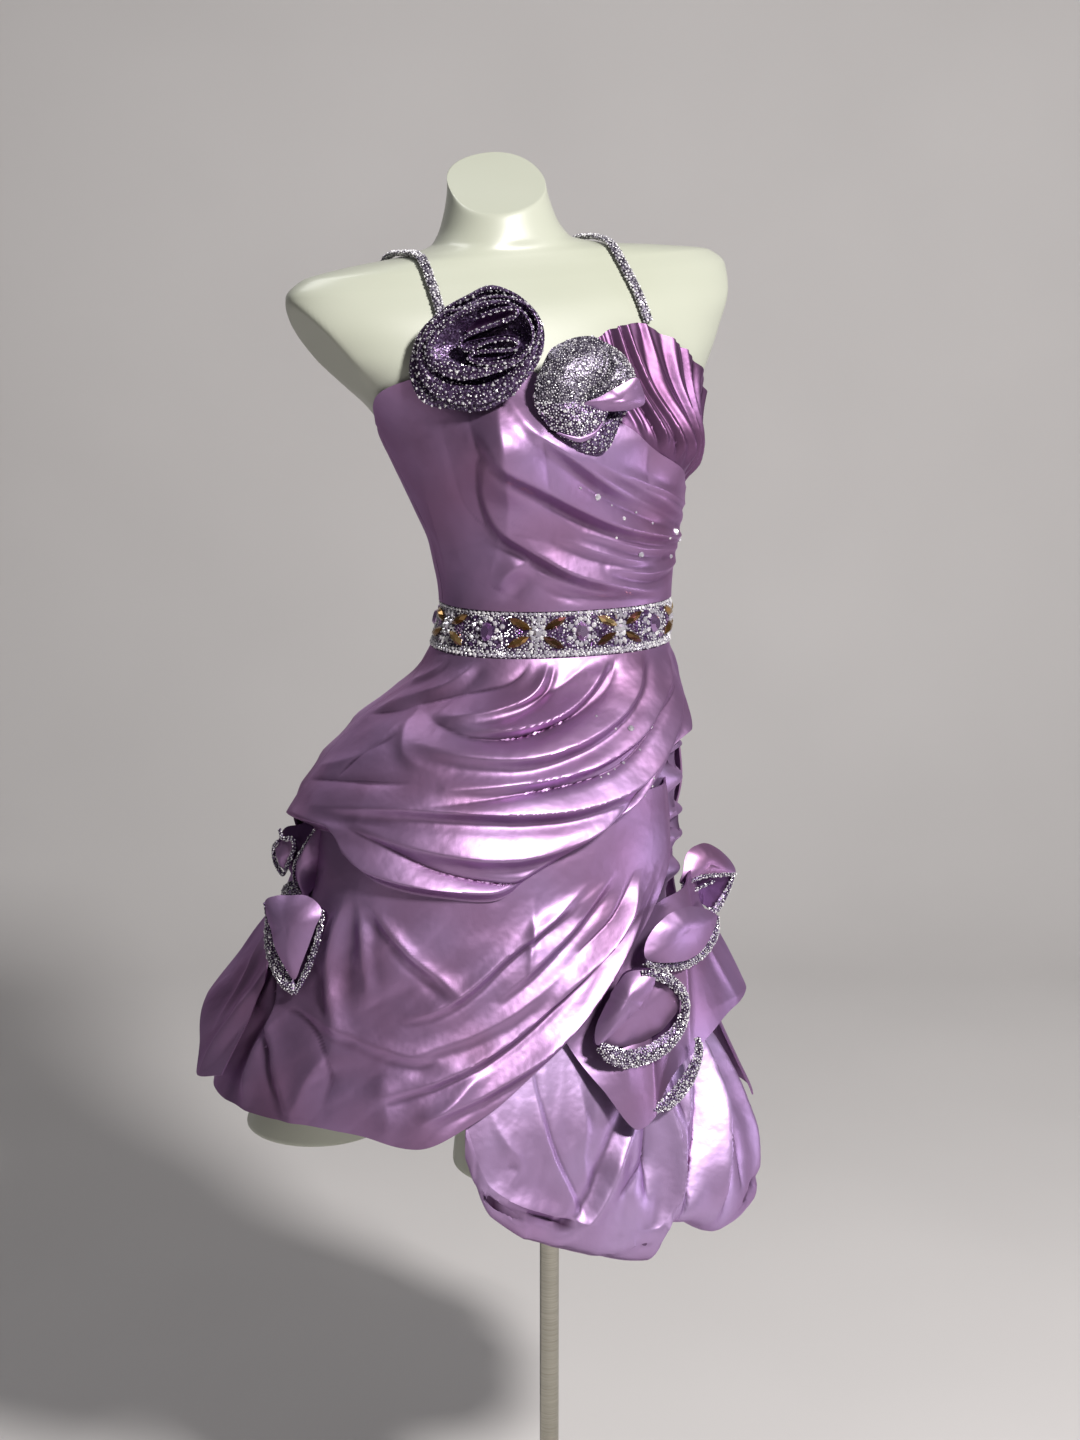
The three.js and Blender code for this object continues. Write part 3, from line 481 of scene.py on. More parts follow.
def sequin_cloth(name, stops):
    """Cloth under sequins: a mesh that glints a little between them."""
    made, tree, shader, place = new_material(name)
    cells = put(tree, "ShaderNodeTexVoronoi", {"Vector": place, "Scale": 520.0}).outputs
    feed(tree, shader, {
        "Base Color": ramp(tree, cells["Color"], stops),
        "Metallic": 0.55,
        "Roughness": 0.32,
        "Normal": bump(tree, cells["Distance"], 0.5, 0.0008),
    })
    return made


def cut_glass(name, stops, roughness=0.12, metallic=0.85):
    """Foil-backed cut glass: each bead its own tone, bright because the foil throws light back."""
    made, tree, shader, _ = new_material(name)
    tone = put(tree, "ShaderNodeAttribute", attribute_name="tone").outputs["Fac"]
    feed(tree, shader, {
        "Base Color": ramp(tree, tone, stops),
        "Metallic": metallic,
        "Roughness": roughness,
        "Coat Weight": 0.4,
        "Coat Roughness": 0.05,
    })
    return made


def gloss_shell():
    """Sprayed glass-fibre shell: off-white lacquer with a slight orange peel."""
    made, tree, shader, place = new_material("gloss_shell")
    feed(tree, shader, {
        "Base Color": ramp(tree, noise(tree, place, 5.0), [(0.3, "#afb3a3"), (0.7, "#b6baac")]),
        "Roughness": 0.38,
        "Coat Weight": 0.25,
        "Coat Roughness": 0.2,
        "Normal": bump(tree, noise(tree, place, 260.0, 1.0), 0.05, 0.0005),
    })
    return made


def brushed_steel():
    """Brushed stainless tube: fine lines round it stretch the highlight."""
    made, tree, shader, place = new_material("brushed_steel")
    grain = noise(tree, stretched(tree, place, (30, 30, 1400)), 1.0, 3.0)
    feed(tree, shader, {
        "Base Color": ramp(tree, grain, [(0.3, "#9c998d"), (0.7, "#bab7ab")]),
        "Metallic": 1.0,
        "Roughness": 0.28,
        "Normal": bump(tree, grain, 0.12, 0.0002),
    })
    return made


def pale_paper():
    """Matt studio paper, a little mottled."""
    made, tree, shader, place = new_material("pale_paper")
    colour = ramp(tree, noise(tree, place, 1.5), [(0.3, "#d5d3d2"), (0.7, "#dbd9d8")])
    feed(tree, shader, {"Base Color": colour, "Roughness": 0.9})
    return made


def finish_piece(item, finish, nodes=()):
    """Gives a piece its material and its body, and hides the imported solids that it stands for."""
    if finish:
        item.data.materials.clear()
        item.data.materials.append(material(finish))
    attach(item, "root")
    if nodes:
        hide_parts(*nodes)
    return item


# The node tree that repeats beads

BEAD_SOCKETS = {
    "Geometry": "NodeSocketGeometry",
    "Spacing": "NodeSocketFloat",
    "Smallest": "NodeSocketFloat",
    "Largest": "NodeSocketFloat",
    "Flatness": "NodeSocketFloat",
    "Seed": "NodeSocketInt",
    "Material": "NodeSocketMaterial",
}
# More beads to the square metre than fit at any spacing, so that the spacing decides.
BEADS_OFFERED = 900000.0
# The draw of the beads' tones.
TONE_SEED = 7


def bead_cover_tree():
    """One faceted bead on each point, scattered over the faces where the beads attribute is high.

    The beads are sized and toned at random, and then realized.
    """
    tree = bpy.data.node_groups.new("bead_cover", "GeometryNodeTree")
    for label, kind in BEAD_SOCKETS.items():
        tree.interface.new_socket(label, in_out="INPUT", socket_type=kind)
    tree.interface.new_socket("Geometry", in_out="OUTPUT", socket_type="NodeSocketGeometry")
    given = put(tree, "NodeGroupInput").outputs
    where = put(tree, "GeometryNodeInputNamedAttribute", {"Name": "beads"}, data_type="FLOAT")
    points = put(tree, "GeometryNodeDistributePointsOnFaces", {
        "Mesh": given["Geometry"],
        "Distance Min": given["Spacing"],
        "Density Max": BEADS_OFFERED,
        "Density Factor": where.outputs[0],
        "Seed": given["Seed"],
    }, distribute_method="POISSON").outputs
    sizes = {2: given["Smallest"], 3: given["Largest"], 8: given["Seed"]}
    size = put(tree, "FunctionNodeRandomValue", sizes, data_type="FLOAT")
    shape = put(tree, "ShaderNodeCombineXYZ", {0: 1.0, 1: 1.0, 2: given["Flatness"]})
    scaled = {0: shape.outputs[0], "Scale": size.outputs[1]}
    beads = put(tree, "GeometryNodeInstanceOnPoints", {
        "Points": points["Points"],
        "Instance": put(tree, "GeometryNodeMeshIcoSphere", {"Radius": 0.5, "Subdivisions": 1}).outputs[0],
        "Rotation": points["Rotation"],
        "Scale": put(tree, "ShaderNodeVectorMath", scaled, operation="SCALE").outputs[0],
    })
    tone = put(tree, "FunctionNodeRandomValue", {8: TONE_SEED}, data_type="FLOAT")
    toned = {"Geometry": beads.outputs[0], "Name": "tone", "Value": tone.outputs[1]}
    marked = put(tree, "GeometryNodeStoreNamedAttribute", toned, data_type="FLOAT", domain="INSTANCE")
    real = put(tree, "GeometryNodeRealizeInstances", {"Geometry": marked.outputs[0]})
    looks = {"Geometry": real.outputs[0], "Material": given["Material"]}
    done = put(tree, "GeometryNodeSetMaterial", looks)
    put(tree, "NodeGroupOutput", {"Geometry": done.outputs[0]})
    return tree


def beads_on(source, name, finish, sizes, flatness, seed):
    """The beads that cover a source object. sizes: spacing, smallest and largest in millimetres."""
    tree = bpy.data.node_groups.get("bead_cover") or bead_cover_tree()
    spacing, smallest, largest = (size * MM for size in sizes)
    values = {"Spacing": spacing, "Smallest": smallest, "Largest": largest, "Flatness": flatness,
              "Seed": seed, "Material": material(finish)}
    modifier = source.modifiers.new("beads", "NODES")
    modifier.node_group = tree
    for socket in tree.interface.items_tree:
        if socket.in_out == "INPUT" and socket.name in values:
            modifier[socket.identifier] = values[socket.name]
    graph = bpy.context.evaluated_depsgraph_get()
    mesh = bpy.data.meshes.new_from_object(source.evaluated_get(graph), depsgraph=graph)
    source.modifiers.remove(modifier)
    mesh.name = name
    item = bpy.data.objects.new(name, mesh)
    bpy.context.scene.collection.objects.link(item)
    return item


# The dress form

ARM_CUTS = (
    {"side": -1, "x": -205, "y": 15, "z": 1248, "lean": 36, "armpit": 1194},
    {"side": 1, "x": 160, "y": 15, "z": 1257, "lean": 21, "armpit": 1200},
)
NECK_CUT = {"x": -35, "y": 38, "z": 1401, "turn": -24, "lean": 31}
LEGS = (
    {"top": (-136, 8), "bottom": (-212, 70), "bottom_z": 524, "top_r": 76, "bottom_r": 70},
    {"top": (20, 5), "bottom": (-25, 11), "bottom_z": 472, "top_r": 76, "bottom_r": 68},
)
LEG_TOP = 800
EDGE_ROUND = 3.5
TORSO_SIDES, LEG_SIDES = 144, 72


def held_below(value, limit, rounding):
    """The smaller of two values, with a rounded corner where they meet."""
    h = np.clip(0.5 + 0.5 * (limit - value) / rounding, 0, 1)
    return mix(limit, value, h) - rounding * h * (1 - h)


def form_torso():
    levels = np.concatenate([
        np.linspace(low, high, count)
        for low, high, count in ((700, 1180, 60), (1184, 1310, 40), (1312, 1356, 45), (1360, 1440, 34))
    ])
    turn = np.linspace(0, 2 * np.pi, TORSO_SIDES, endpoint=False)
    z = levels[:, None]
    s, c = np.sin(turn)[None], np.cos(turn)[None]
    power = 2 / ROUNDNESS
    x = np.sign(s) * np.abs(s) ** power * np.where(s < 0, FORM.at("right", z), FORM.at("left", z))
    y = np.sign(c) * np.abs(c) ** power * np.where(c > 0, FORM.at("front", z), FORM.at("back", z))
    swell = 1 + bust_at(np.degrees(np.arctan2(x, y)), z, 0) / np.hypot(x, y)
    x = FORM.at("cx", z) + x * swell
    y = FORM.at("cy", z) - y * swell
    z = z + tilt_at(z) * x
    for cut in ARM_CUTS:
        lean = math.radians(cut["lean"])
        plane = cut["side"] * cut["x"] + math.tan(lean) * (z - cut["z"])
        plane = plane + 0.1 * (y - cut["y"]) / math.cos(lean)
        free = smooth((z - cut["armpit"] + 8) / 14)
        held = held_below(cut["side"] * x, plane, EDGE_ROUND)
        x = np.where(cut["side"] * x > 0, mix(x, cut["side"] * held, free), x)
    lean, turned = math.radians(NECK_CUT["lean"]), math.radians(NECK_CUT["turn"])
    ahead = (x - NECK_CUT["x"]) * math.sin(turned) - (y - NECK_CUT["y"]) * math.cos(turned)
    z = held_below(z, NECK_CUT["z"] - math.tan(lean) * ahead, EDGE_ROUND)
    return skin("form_torso", np.stack([x, y, z], -1), smooth_angle=60)


def form_thigh(name, leg):
    shares = [0, 0, 0.002, 0.006, 0.012, *np.linspace(0.02, 1, 14)]
    # The lower edge is rounded.
    insets = [12, 5, 2.5, 1.0, 0.3] + [0.0] * 14
    rings = []
    for share, inset in zip(shares, insets):
        radius = mix(leg["bottom_r"], leg["top_r"], share) - inset
        x, y = (mix(low, high, share) for low, high in zip(leg["bottom"], leg["top"]))
        rings.append(circle(radius, LEG_SIDES, x, y, mix(leg["bottom_z"], LEG_TOP, share)))
    return skin(name, np.array(rings), smooth_angle=60)


# The bodice

CLOTH = 1.6
BAND_TOP = 1028
BAND_BOTTOM = 987
BODICE_LOW = BAND_TOP + 0.3
BODICE_OFFSET = 6.0
CUP_OFFSET = 2.5
EDGE_FADE = 14
SEAM_FADE = 8
DEEPEST_CREASE = 1.2
RIGHT_SEAM, LEFT_SEAM = -93, 87

BODICE_TOP = edge_line([
    (-93, 1190), (-84, 1206), (-70, 1229), (-56, 1243), (-42, 1250), (-28, 1246), (-14, 1228),
    (-2, 1204), (14, 1192), (28, 1165), (45, 1147), (62, 1131), (87, 1124),
])
CUP_TOP = edge_line([
    (-4, 1222), (14, 1254), (28, 1270), (43, 1274), (56, 1254), (68, 1226), (80, 1192), (95, 1164),
])
BACK_TOP = edge_line([
    (87, 1186), (110, 1166), (150, 1150), (210, 1150), (250, 1166), (267, 1188),
])

BODICE_SCALE = 1.95
BODICE_FOLDS = [
    ([(-35, 1227), (-26, 1189), (-17, 1174), (0, 1144), (24, 1122), (52, 1102)], 14, 5, 6.5),
    ([(-42, 1182), (-38, 1159), (-30, 1145), (-20, 1131), (-4, 1114), (16, 1099), (64, 1080)], 15, 5, 9.0),
    ([(-45, 1156), (-50, 1129), (-47, 1104), (-39, 1090), (-18, 1064), (3, 1052), (48, 1034)],
     18, 6, 9.0),
    ([(-4, 1098), (16, 1086), (36, 1078), (66, 1074)], 10, 4, 5.5),
    ([(8, 1066), (22, 1060), (38, 1056), (68, 1062)], 9, 4, 5.0),
    ([(-36, 1075), (-46, 1064), (-53, 1047)], 10, 7, 5.0),
    ([(-6, 1166), (12, 1144), (30, 1126), (64, 1104)], 10, 4, 4.5),
    ([(22, 1132), (44, 1114), (68, 1096)], 8, 4, 4.5),
    ([(30, 1094), (50, 1088), (72, 1086)], 6, 3.5, 4.0),
    ([(-78, 1130), (-82, 1090), (-84, 1050)], 8, 8, 2.0),
    ([(10, 1150), (30, 1134), (50, 1120), (70, 1112)], 8, 3.5, 4.0),
    ([(-20, 1092), (0, 1080), (24, 1070), (44, 1069)], 9, 4, 4.0),
    ([(-34, 1064), (-20, 1052), (0, 1042), (20, 1038)], 10, 5, 4.5),
]
# Creased edges between flat stretches: from the bust down the right front, and over the hip.
BODICE_CRESTS = [
    ([(-38, 1250), (-37, 1205), (-36, 1170), (-38, 1140), (-43, 1100)], 14, 38, 11.0),
    ([(-44, 1112), (-52, 1080), (-58, 1050)], 26, 26, 3.0),
]


def bodice_point(angle, z):
    # Folds die out towards the band and the right seam.
    edges = smooth((z - BODICE_LOW) / EDGE_FADE) * smooth((angle - RIGHT_SEAM) / SEAM_FADE)
    folds = fold_height(BODICE_FOLDS, BODICE_SCALE, angle, z)
    folds = folds + fold_height(BODICE_CRESTS, BODICE_SCALE, angle, z, 1.1)
    calm = ripple(angle, z, BODICE_SCALE, size=0.9, seed=3, heading=60, spread=35)
    folds = np.maximum(folds, -DEEPEST_CREASE)
    return over_form(angle, z, BODICE_OFFSET + folds * edges + calm * edges)


def panel(rows, columns, start, stop, top, hem, point, crowding=1.2):
    """A panel's grid: columns run round the body and rows from the hem to the top.

    top and hem are heights, or functions that give them for the angles. Rows crowd to the hem.
    """
    angle = np.linspace(start, stop, columns)
    low, high = (edge(angle) if callable(edge) else np.full(columns, edge) for edge in (hem, top))
    up = np.linspace(0, 1, rows)[:, None] ** crowding
    z = low + (high - low) * up
    return point(np.broadcast_to(angle, z.shape), z)


def bodice_front():
    grid = panel(118, 229, RIGHT_SEAM, LEFT_SEAM, BODICE_TOP, BODICE_LOW, bodice_point, 1.0)
    return cloth("bodice_front_satin", grid, CLOTH)


PLEATS = 11
PLEAT_DEPTH = 8.5
PLEAT_CLOTH = 1.3


def pleated_cup():
    across = np.linspace(0, 1, 265)[None]
    up = np.linspace(0, 1, 49)[:, None]
    bend = 0.05 * np.sin(np.pi * up) * (0.4 + across)
    angle = mix(mix(0, 88, across), mix(2, 84, across), up)
    low = BODICE_TOP(angle) - 8
    z = mix(low, CUP_TOP(angle), up)
    count = across**1.2 + bend + 0.014 * np.sin(across * 19) + 0.008 * np.sin(across * 43 + 2 * up)
    turn = count * PLEATS * 2 * np.pi
    # Each pleat leans over: a slow rise, then a quick drop into the next one's shade.
    pleat = 0.5 + 0.5 * np.sin(turn + 0.75 * np.sin(turn)) + 0.08 * np.sin(2 * turn)
    uneven = 0.75 + 0.25 * np.sin(count * 23) + 0.2 * np.sin(count * 41 + 1 + 2 * up)
    fullness = smooth((z - low - 9) / 20) * (1 - 0.3 * up**2)
    proud = smooth((z - low - 11) / 10) + 1.4 * up
    grid = over_form(angle, z, CUP_OFFSET + proud + PLEAT_DEPTH * pleat * uneven * fullness)
    return cloth("cup_pleats", grid, PLEAT_CLOTH)


def bodice_back():
    def point(angle, z):
        signed = np.where(angle > 180, angle - 360, angle)
        calm = ripple(angle, z, BODICE_SCALE, size=0.7, seed=5) * smooth((z - BODICE_LOW) / EDGE_FADE)
        return over_form(signed, z, BODICE_OFFSET + calm)

    grid = panel(46, 121, LEFT_SEAM + 0.4, RIGHT_SEAM + 359.6, BACK_TOP, BODICE_LOW, point, 1.0)
    return cloth("bodice_back_satin", grid, CLOTH)


# Straps

SHOULDER_RIDGE = 1343
STRAPS = (
    {"node": "strap_right", "front": (-123, 1249), "top": -129, "back": (-118, 1162.5)},
    {"node": "strap_left", "front": (66, 1273), "top": 50, "back": (54, 1153)},
)
STRAP_CLEAR = 4.6
STRAP_HALF_WIDTH, STRAP_HALF_THICKNESS = 4.4, 2.0


def form_side(x, z, front):
    """The form's surface at a sideways place and a height, on its front or back."""
    away = x - FORM.at("cx", z)
    side = FORM.at("right" if away < 0 else "left", z)
    share = abs(away) / side
    if share >= 1:
        return None
    depth = FORM.at("front" if front else "back", z) * (1 - share**ROUNDNESS) ** (1 / ROUNDNESS)
    swell = 0.0
    if front:
        swell = bust_at(math.degrees(math.atan2(away, depth)), z, 0) / math.hypot(away, depth)
    return float(FORM.at("cy", z) + (-depth if front else depth) * (1 + swell))


def strap_line(strap):
    """The strap's way over the shoulder, on the form's surface."""
    halves = []
    for low_x, low, front in ((*strap["front"], True), (*strap["back"], False)):
        half = []
        z = low
        while True:
            x = mix(low_x, strap["top"], (z - low) / (SHOULDER_RIDGE - low))
            y = form_side(x, z, front)
            if y is None:
                break
            half.append((x, y, z + float(tilt_at(z)) * x))
            z += 3
        halves.append(half)
    return np.array(halves[0] + halves[1][::-1])


def resampled(line, count):
    run = np.concatenate([[0], np.cumsum(np.linalg.norm(np.diff(line, axis=0), axis=1))])
    at = np.linspace(0, run[-1], count)
    return np.stack([np.interp(at, run, line[:, k]) for k in range(3)], -1)


def strap_tube(strap):
    line = resampled(strap_line(strap), 90)
    along = np.gradient(line, axis=0)
    along /= np.linalg.norm(along, axis=1, keepdims=True)
    side = np.array([1.0, 0, 0]) - along * along[:, :1]
    side /= np.linalg.norm(side, axis=1, keepdims=True)
    out = np.cross(side, along)
    turn = np.linspace(0, 2 * np.pi, 16, endpoint=False)
    rings = (
        line[:, None]
        + side[:, None] * (STRAP_HALF_WIDTH * np.cos(turn))[None, :, None]
        + out[:, None] * (STRAP_CLEAR + STRAP_HALF_THICKNESS * np.sin(turn))[None, :, None]
    )
    return skin(strap["node"] + "_tube", rings[:, ::-1], True)


# The waistband and its stones

BAND_OUTER = 4.4


def band_point(angle, height, offset):
    """A place on the band: height is 0 at its lower edge and 1 at its upper one."""
    z = mix(BAND_BOTTOM, BAND_TOP, np.asarray(height, float))
    return over_form(np.asarray(angle, float), z, offset, 0)


# The band's section: height on it, distance from the form and share of beads.
BAND_SECTION = (
    (0, 1.2, 0), (0, 3.6, 0.3), (0.02, 4.3, 1), (0.1, 4.6, 1), (0.2, 4.4, 0.75), (0.8, 4.4, 0.6),
    (0.9, 4.6, 1), (0.98, 4.3, 1), (1, 3.6, 0.3), (1, 1.2, 0),
)
BAND_STEPS = 360


def waistband():
    turn = np.linspace(-180, 180, BAND_STEPS, endpoint=False)
    rings = np.stack([band_point(turn, np.full(BAND_STEPS, h), out) for h, out, _ in BAND_SECTION])
    ids = np.arange(rings.size // 3).reshape(rings.shape[:2])
    faces = quads(ringed(np.vstack([ids, ids[:1]]))).tolist()
    beads = np.repeat([share for *_, share in BAND_SECTION], BAND_STEPS)
    return object_from("waistband_cloth", rings.reshape(-1, 3), faces, {"beads": beads})


def cut_stone(outline, height, table=0.5):
    """A faceted stone on the xy plane: an outline, a crown and a flat table."""
    outline = np.array(outline, float)
    count = len(outline)
    base = np.column_stack([outline, np.zeros(count)])
    girdle = np.column_stack([outline, np.full(count, height * 0.35)])
    top = np.column_stack([outline * table, np.full(count, height)])
    points = np.vstack([base, girdle, top])
    faces = []
    for i in range(count):
        j = (i + 1) % count
        faces.append([i, j, count + j, count + i])
        faces.append([count + i, count + j, 2 * count + j, 2 * count + i])
    faces.append([2 * count + i for i in range(count)])
    faces.append([count - 1 - i for i in range(count)])
    return points, faces


def round_outline(rx, ry, count):
    turn = np.linspace(0, 2 * np.pi, count, endpoint=False)
    return np.stack([rx * np.cos(turn), ry * np.sin(turn)], -1)


def navette_outline(length, width):
    half = ((0.5, 0), (0.25, 0.42), (0, 0.5), (-0.25, 0.42))
    return [(side * length * x, side * width * y) for side in (1, -1) for x, y in half]


STONE_SHAPES = {
    "round": lambda size: cut_stone(round_outline(size / 2, size / 2, 8), size * 0.42),
    "oval": lambda size: cut_stone(round_outline(size * 0.36, size / 2, 12), size * 0.3, 0.62),
    "navette": lambda size: cut_stone(navette_outline(size, size * 0.33), size * 0.2, 0.45),
    "drop": lambda size: cut_stone(
        [(0, size * 0.5), (-size * 0.2, size * 0.1), (-size * 0.26, -size * 0.22), (0, -size * 0.44),
         (size * 0.26, -size * 0.22), (size * 0.2, size * 0.1)], size * 0.28, 0.5),
}


def surface_frame(point_at, angle, z):
    """A point on a surface and its sideways, up and outward directions."""
    here = point_at(angle, z)
    side = point_at(angle + 1.0, z) - point_at(angle - 1.0, z)
    up = point_at(angle, z + 1.0) - point_at(angle, z - 1.0)
    side = side / np.linalg.norm(side)
    out = np.cross(side, up)
    out /= np.linalg.norm(out)
    return here, side, np.cross(out, side), out


def stones_on(name, point_at, rows, finish):
    """Stones set on a surface, joined in one mesh. rows: kind, angle, z, size, turn."""
    points, faces, tones = [], [], []
    random = np.random.default_rng(11)
    for kind, angle, z, size, turn in rows:
        local, sides = STONE_SHAPES[kind](size)
        here, side, up, out = surface_frame(point_at, float(angle), float(z))
        c, s = math.cos(math.radians(turn)), math.sin(math.radians(turn))
        across, along = side * c + up * s, up * c - side * s
        start = sum(len(p) for p in points)
        points.append(here + local[:, :1] * across + local[:, 1:2] * along + local[:, 2:] * out)
        faces += [[start + i for i in face] for face in sides]
        tones.append(np.full(len(local), random.uniform(0, 1)))
    item = object_from(name, np.vstack(points), faces, {"tone": np.concatenate(tones)}, 20)
    item.data.polygons.foreach_set("use_smooth", [False] * len(item.data.polygons))
    return finish_piece(item, finish)


# The skirt

SKIRT_TOP = BAND_BOTTOM - 0.3
DRAPE_RIGHT, DRAPE_LEFT = -100, 86
DRAPE_HEM = edge_line([
    (-100, 830), (-90, 834), (-76, 838), (-66, 820), (-56, 803), (-40, 793), (-24, 788),
    (-8, 806), (10, 828), (26, 850), (40, 876), (58, 908), (86, 926),
])
DRAPE_SCALE = 2.7
DRAPE_FOLDS = [
    # ridges from the band down to the pin on the right hip
    ([(-61, 992), (-66, 966), (-86, 950), (-100, 928)], 9, 7, 7.0),
    ([(-35, 987), (-42, 966), (-58, 958), (-76, 945)], 5, 5, -3.5),
    ([(-26, 990), (-29, 959), (-44, 946), (-62, 941)], 9, 5, 8.5),
    ([(3, 990), (-12, 971), (-31, 952), (-53, 941)], 6, 5, -2.5),
    ([(12, 990), (-6, 957), (-20, 938), (-35, 932), (-57, 935)], 12, 5, 9.5),
    ([(14, 985), (11, 966), (-4, 943), (-19, 931), (-33, 922), (-47, 924), (-58, 931), (-75, 944)],
     5, 5, -4.5),
    ([(-84, 985), (-78, 981), (-84, 968), (-104, 952)], 5, 4, 3.0),
    ([(-109, 924), (-84, 935), (-76, 945)], 4, 4, -3.5),
    ([(-76, 944), (-70, 925), (-63, 906), (-50, 897)], 6, 6, 3.5),
    # the wide swags
    ([(34, 990), (21, 950), (1, 924), (-21, 909), (-41, 911), (-64, 920)], 19, 7, 11.0),
    ([(50, 962), (39, 945), (28, 923), (14, 905), (-4, 893), (-22, 889), (-46, 886)], 15, 4, 7.5),
    ([(52, 950), (39, 933), (28, 911), (20, 897), (9, 888), (-4, 882), (-28, 878), (-52, 870)],
     3.5, 4, -5.0),
    ([(58, 945), (46, 921), (29, 882), (8, 865), (-14, 863), (-38, 868), (-59, 871), (-84, 860)],
     16, 6, 11.0),
    ([(60, 940), (44, 900), (24, 858), (2, 832), (-20, 824), (-44, 835), (-66, 852)], 16, 6, 9.5),
    ([(66, 950), (56, 932), (39, 895), (29, 872), (18, 848), (5, 823), (-7, 808), (-16, 801), (-25, 805),
      (-37, 813), (-46, 822), (-57, 838), (-68, 848)], 4, 5, -7.5),
    ([(74, 930), (60, 912), (44, 884), (30, 858), (14, 836), (-2, 816), (-14, 804)], 6, 8, 6.0),
    ([(-78, 838), (-66, 826), (-52, 810), (-38, 802), (-20, 797)], 8, 5, 5.0),
    # side of the hip
    ([(-73, 921), (-80, 904), (-83, 884)], 4, 4, -3.5),
    ([(-76, 929), (-77, 907), (-86, 895), (-99, 884)], 6, 6, 4.0),
    ([(-104, 867), (-88, 878), (-75, 884), (-59, 888)], 4, 4, -3.5),
    ([(-98, 844), (-84, 850), (-68, 846)], 6, 5, 4.0),
    # pulled round to the left hip
    ([(82, 962), (66, 925), (52, 892)], 7, 5, 3.5),
    ([(84, 940), (72, 918), (60, 900)], 6, 5, 2.5),
    ([(60, 985), (50, 965), (44, 945)], 8, 8, 4.0),
    ([(74, 985), (70, 965), (74, 945)], 7, 7, 3.5),
]

FAN_RIGHT, FAN_LEFT = -99, 62
FAN_HEM = edge_line([
    (-99, 598), (-91, 590), (-78, 594), (-64, 595), (-52, 590), (-38, 581), (-27, 595), (-18, 610),
    (-6, 638), (11, 678), (20, 702), (38, 750), (50, 790), (62, 828),
])
FAN_SCALE = 3.2
FAN_FOLDS = [
    ([(-65, 808), (-68, 748), (-65, 700), (-61, 672)], 7, 9, 7.0),
    ([(-64, 802), (-60, 769), (-58, 740), (-55, 705)], 5, 6, 4.0),
    ([(-62, 796), (-54, 771), (-49, 755), (-41, 731), (-31, 709)], 7, 5, 5.0),
    ([(13, 796), (-3, 765), (-17, 742), (-28, 713), (-36, 697), (-44, 690)], 9, 4, 6.0),
    ([(35, 785), (28, 759), (12, 722), (-4, 689), (-18, 661), (-31, 641), (-45, 626)], 12, 4, 7.5),
    ([(40, 775), (30, 738), (17, 700), (6, 670), (-7, 645), (-23, 620), (-36, 608)], 9, 4, 6.5),
    ([(-76, 690), (-81, 653), (-80, 624), (-78, 596)], 8, 9, 9.0),
    ([(-73, 687), (-60, 675), (-45, 660), (-31, 650)], 8, 5, 3.0),
    ([(-62, 655), (-65, 629), (-66, 600)], 8, 8, 5.0),
    ([(-9, 790), (-9, 749), (-10, 720)], 5, 5, 2.2),
    ([(-80, 684), (-68, 676), (-60, 644), (-60, 610)], 5, 5, -3.0),
    ([(50, 900), (43, 866), (40, 833), (31, 795), (23, 762), (8, 735)], 3, 4, -5.0),
    ([(56, 866), (46, 815), (34, 775), (20, 738), (0, 702)], 8, 7, 5.0),
    ([(58, 850), (50, 812), (42, 780)], 5, 5, 4.0),
    ([(40, 830), (24, 800), (8, 776), (-10, 760)], 9, 6, 3.5),
    ([(-84, 762), (-88, 700), (-92, 640), (-94, 596)], 8, 8, 9.0),
    ([(-48, 640), (-46, 612), (-44, 584)], 9, 9, 4.0),
    ([(-24, 640), (-30, 618), (-38, 600)], 7, 6, 3.5),
    ([(-88, 740), (-84, 690), (-74, 640), (-66, 596)], 8, 4, 5.5),
    ([(-70, 730), (-64, 700), (-61, 676)], 10, 5, 3.0),
    ([(2, 720), (-14, 690), (-30, 668), (-48, 655)], 12, 6, 3.5),
    ([(26, 810), (12, 770), (-4, 735), (-18, 706)], 11, 4, 5.0),
    ([(46, 836), (36, 800), (26, 758), (14, 726)], 9, 4, 4.5),
]

BACK_HEM = edge_line([
    (86, 504), (98, 512), (120, 530), (150, 548), (180, 560), (210, 572), (235, 584), (260, 596),
])
BACK_FLUTES = ((92, 26), (116, 16), (141, 20), (166, 17), (191, 20), (214, 17), (236, 14))
BACK_FOLDS = [
    ([(96, 958), (140, 938), (200, 934), (250, 950)], 12, 7, 5.0),
    ([(98, 930), (140, 905), (200, 900), (258, 924)], 14, 7, 7.0),
    ([(97, 902), (140, 872), (200, 868), (258, 890)], 14, 7, 7.5),
    ([(98, 872), (140, 840), (200, 836), (256, 860)], 14, 7, 7.5),
    ([(100, 842), (150, 808), (205, 806), (254, 832)], 13, 7, 6.0),
    ([(118, 790), (122, 700), (116, 560)], 9, 9, 5.0),
    ([(152, 780), (154, 690), (150, 575)], 8, 9, 4.0),
    ([(204, 780), (202, 690), (204, 590)], 9, 8, 4.5),
    ([(228, 780), (226, 700), (228, 610)], 8, 8, 4.0),
]

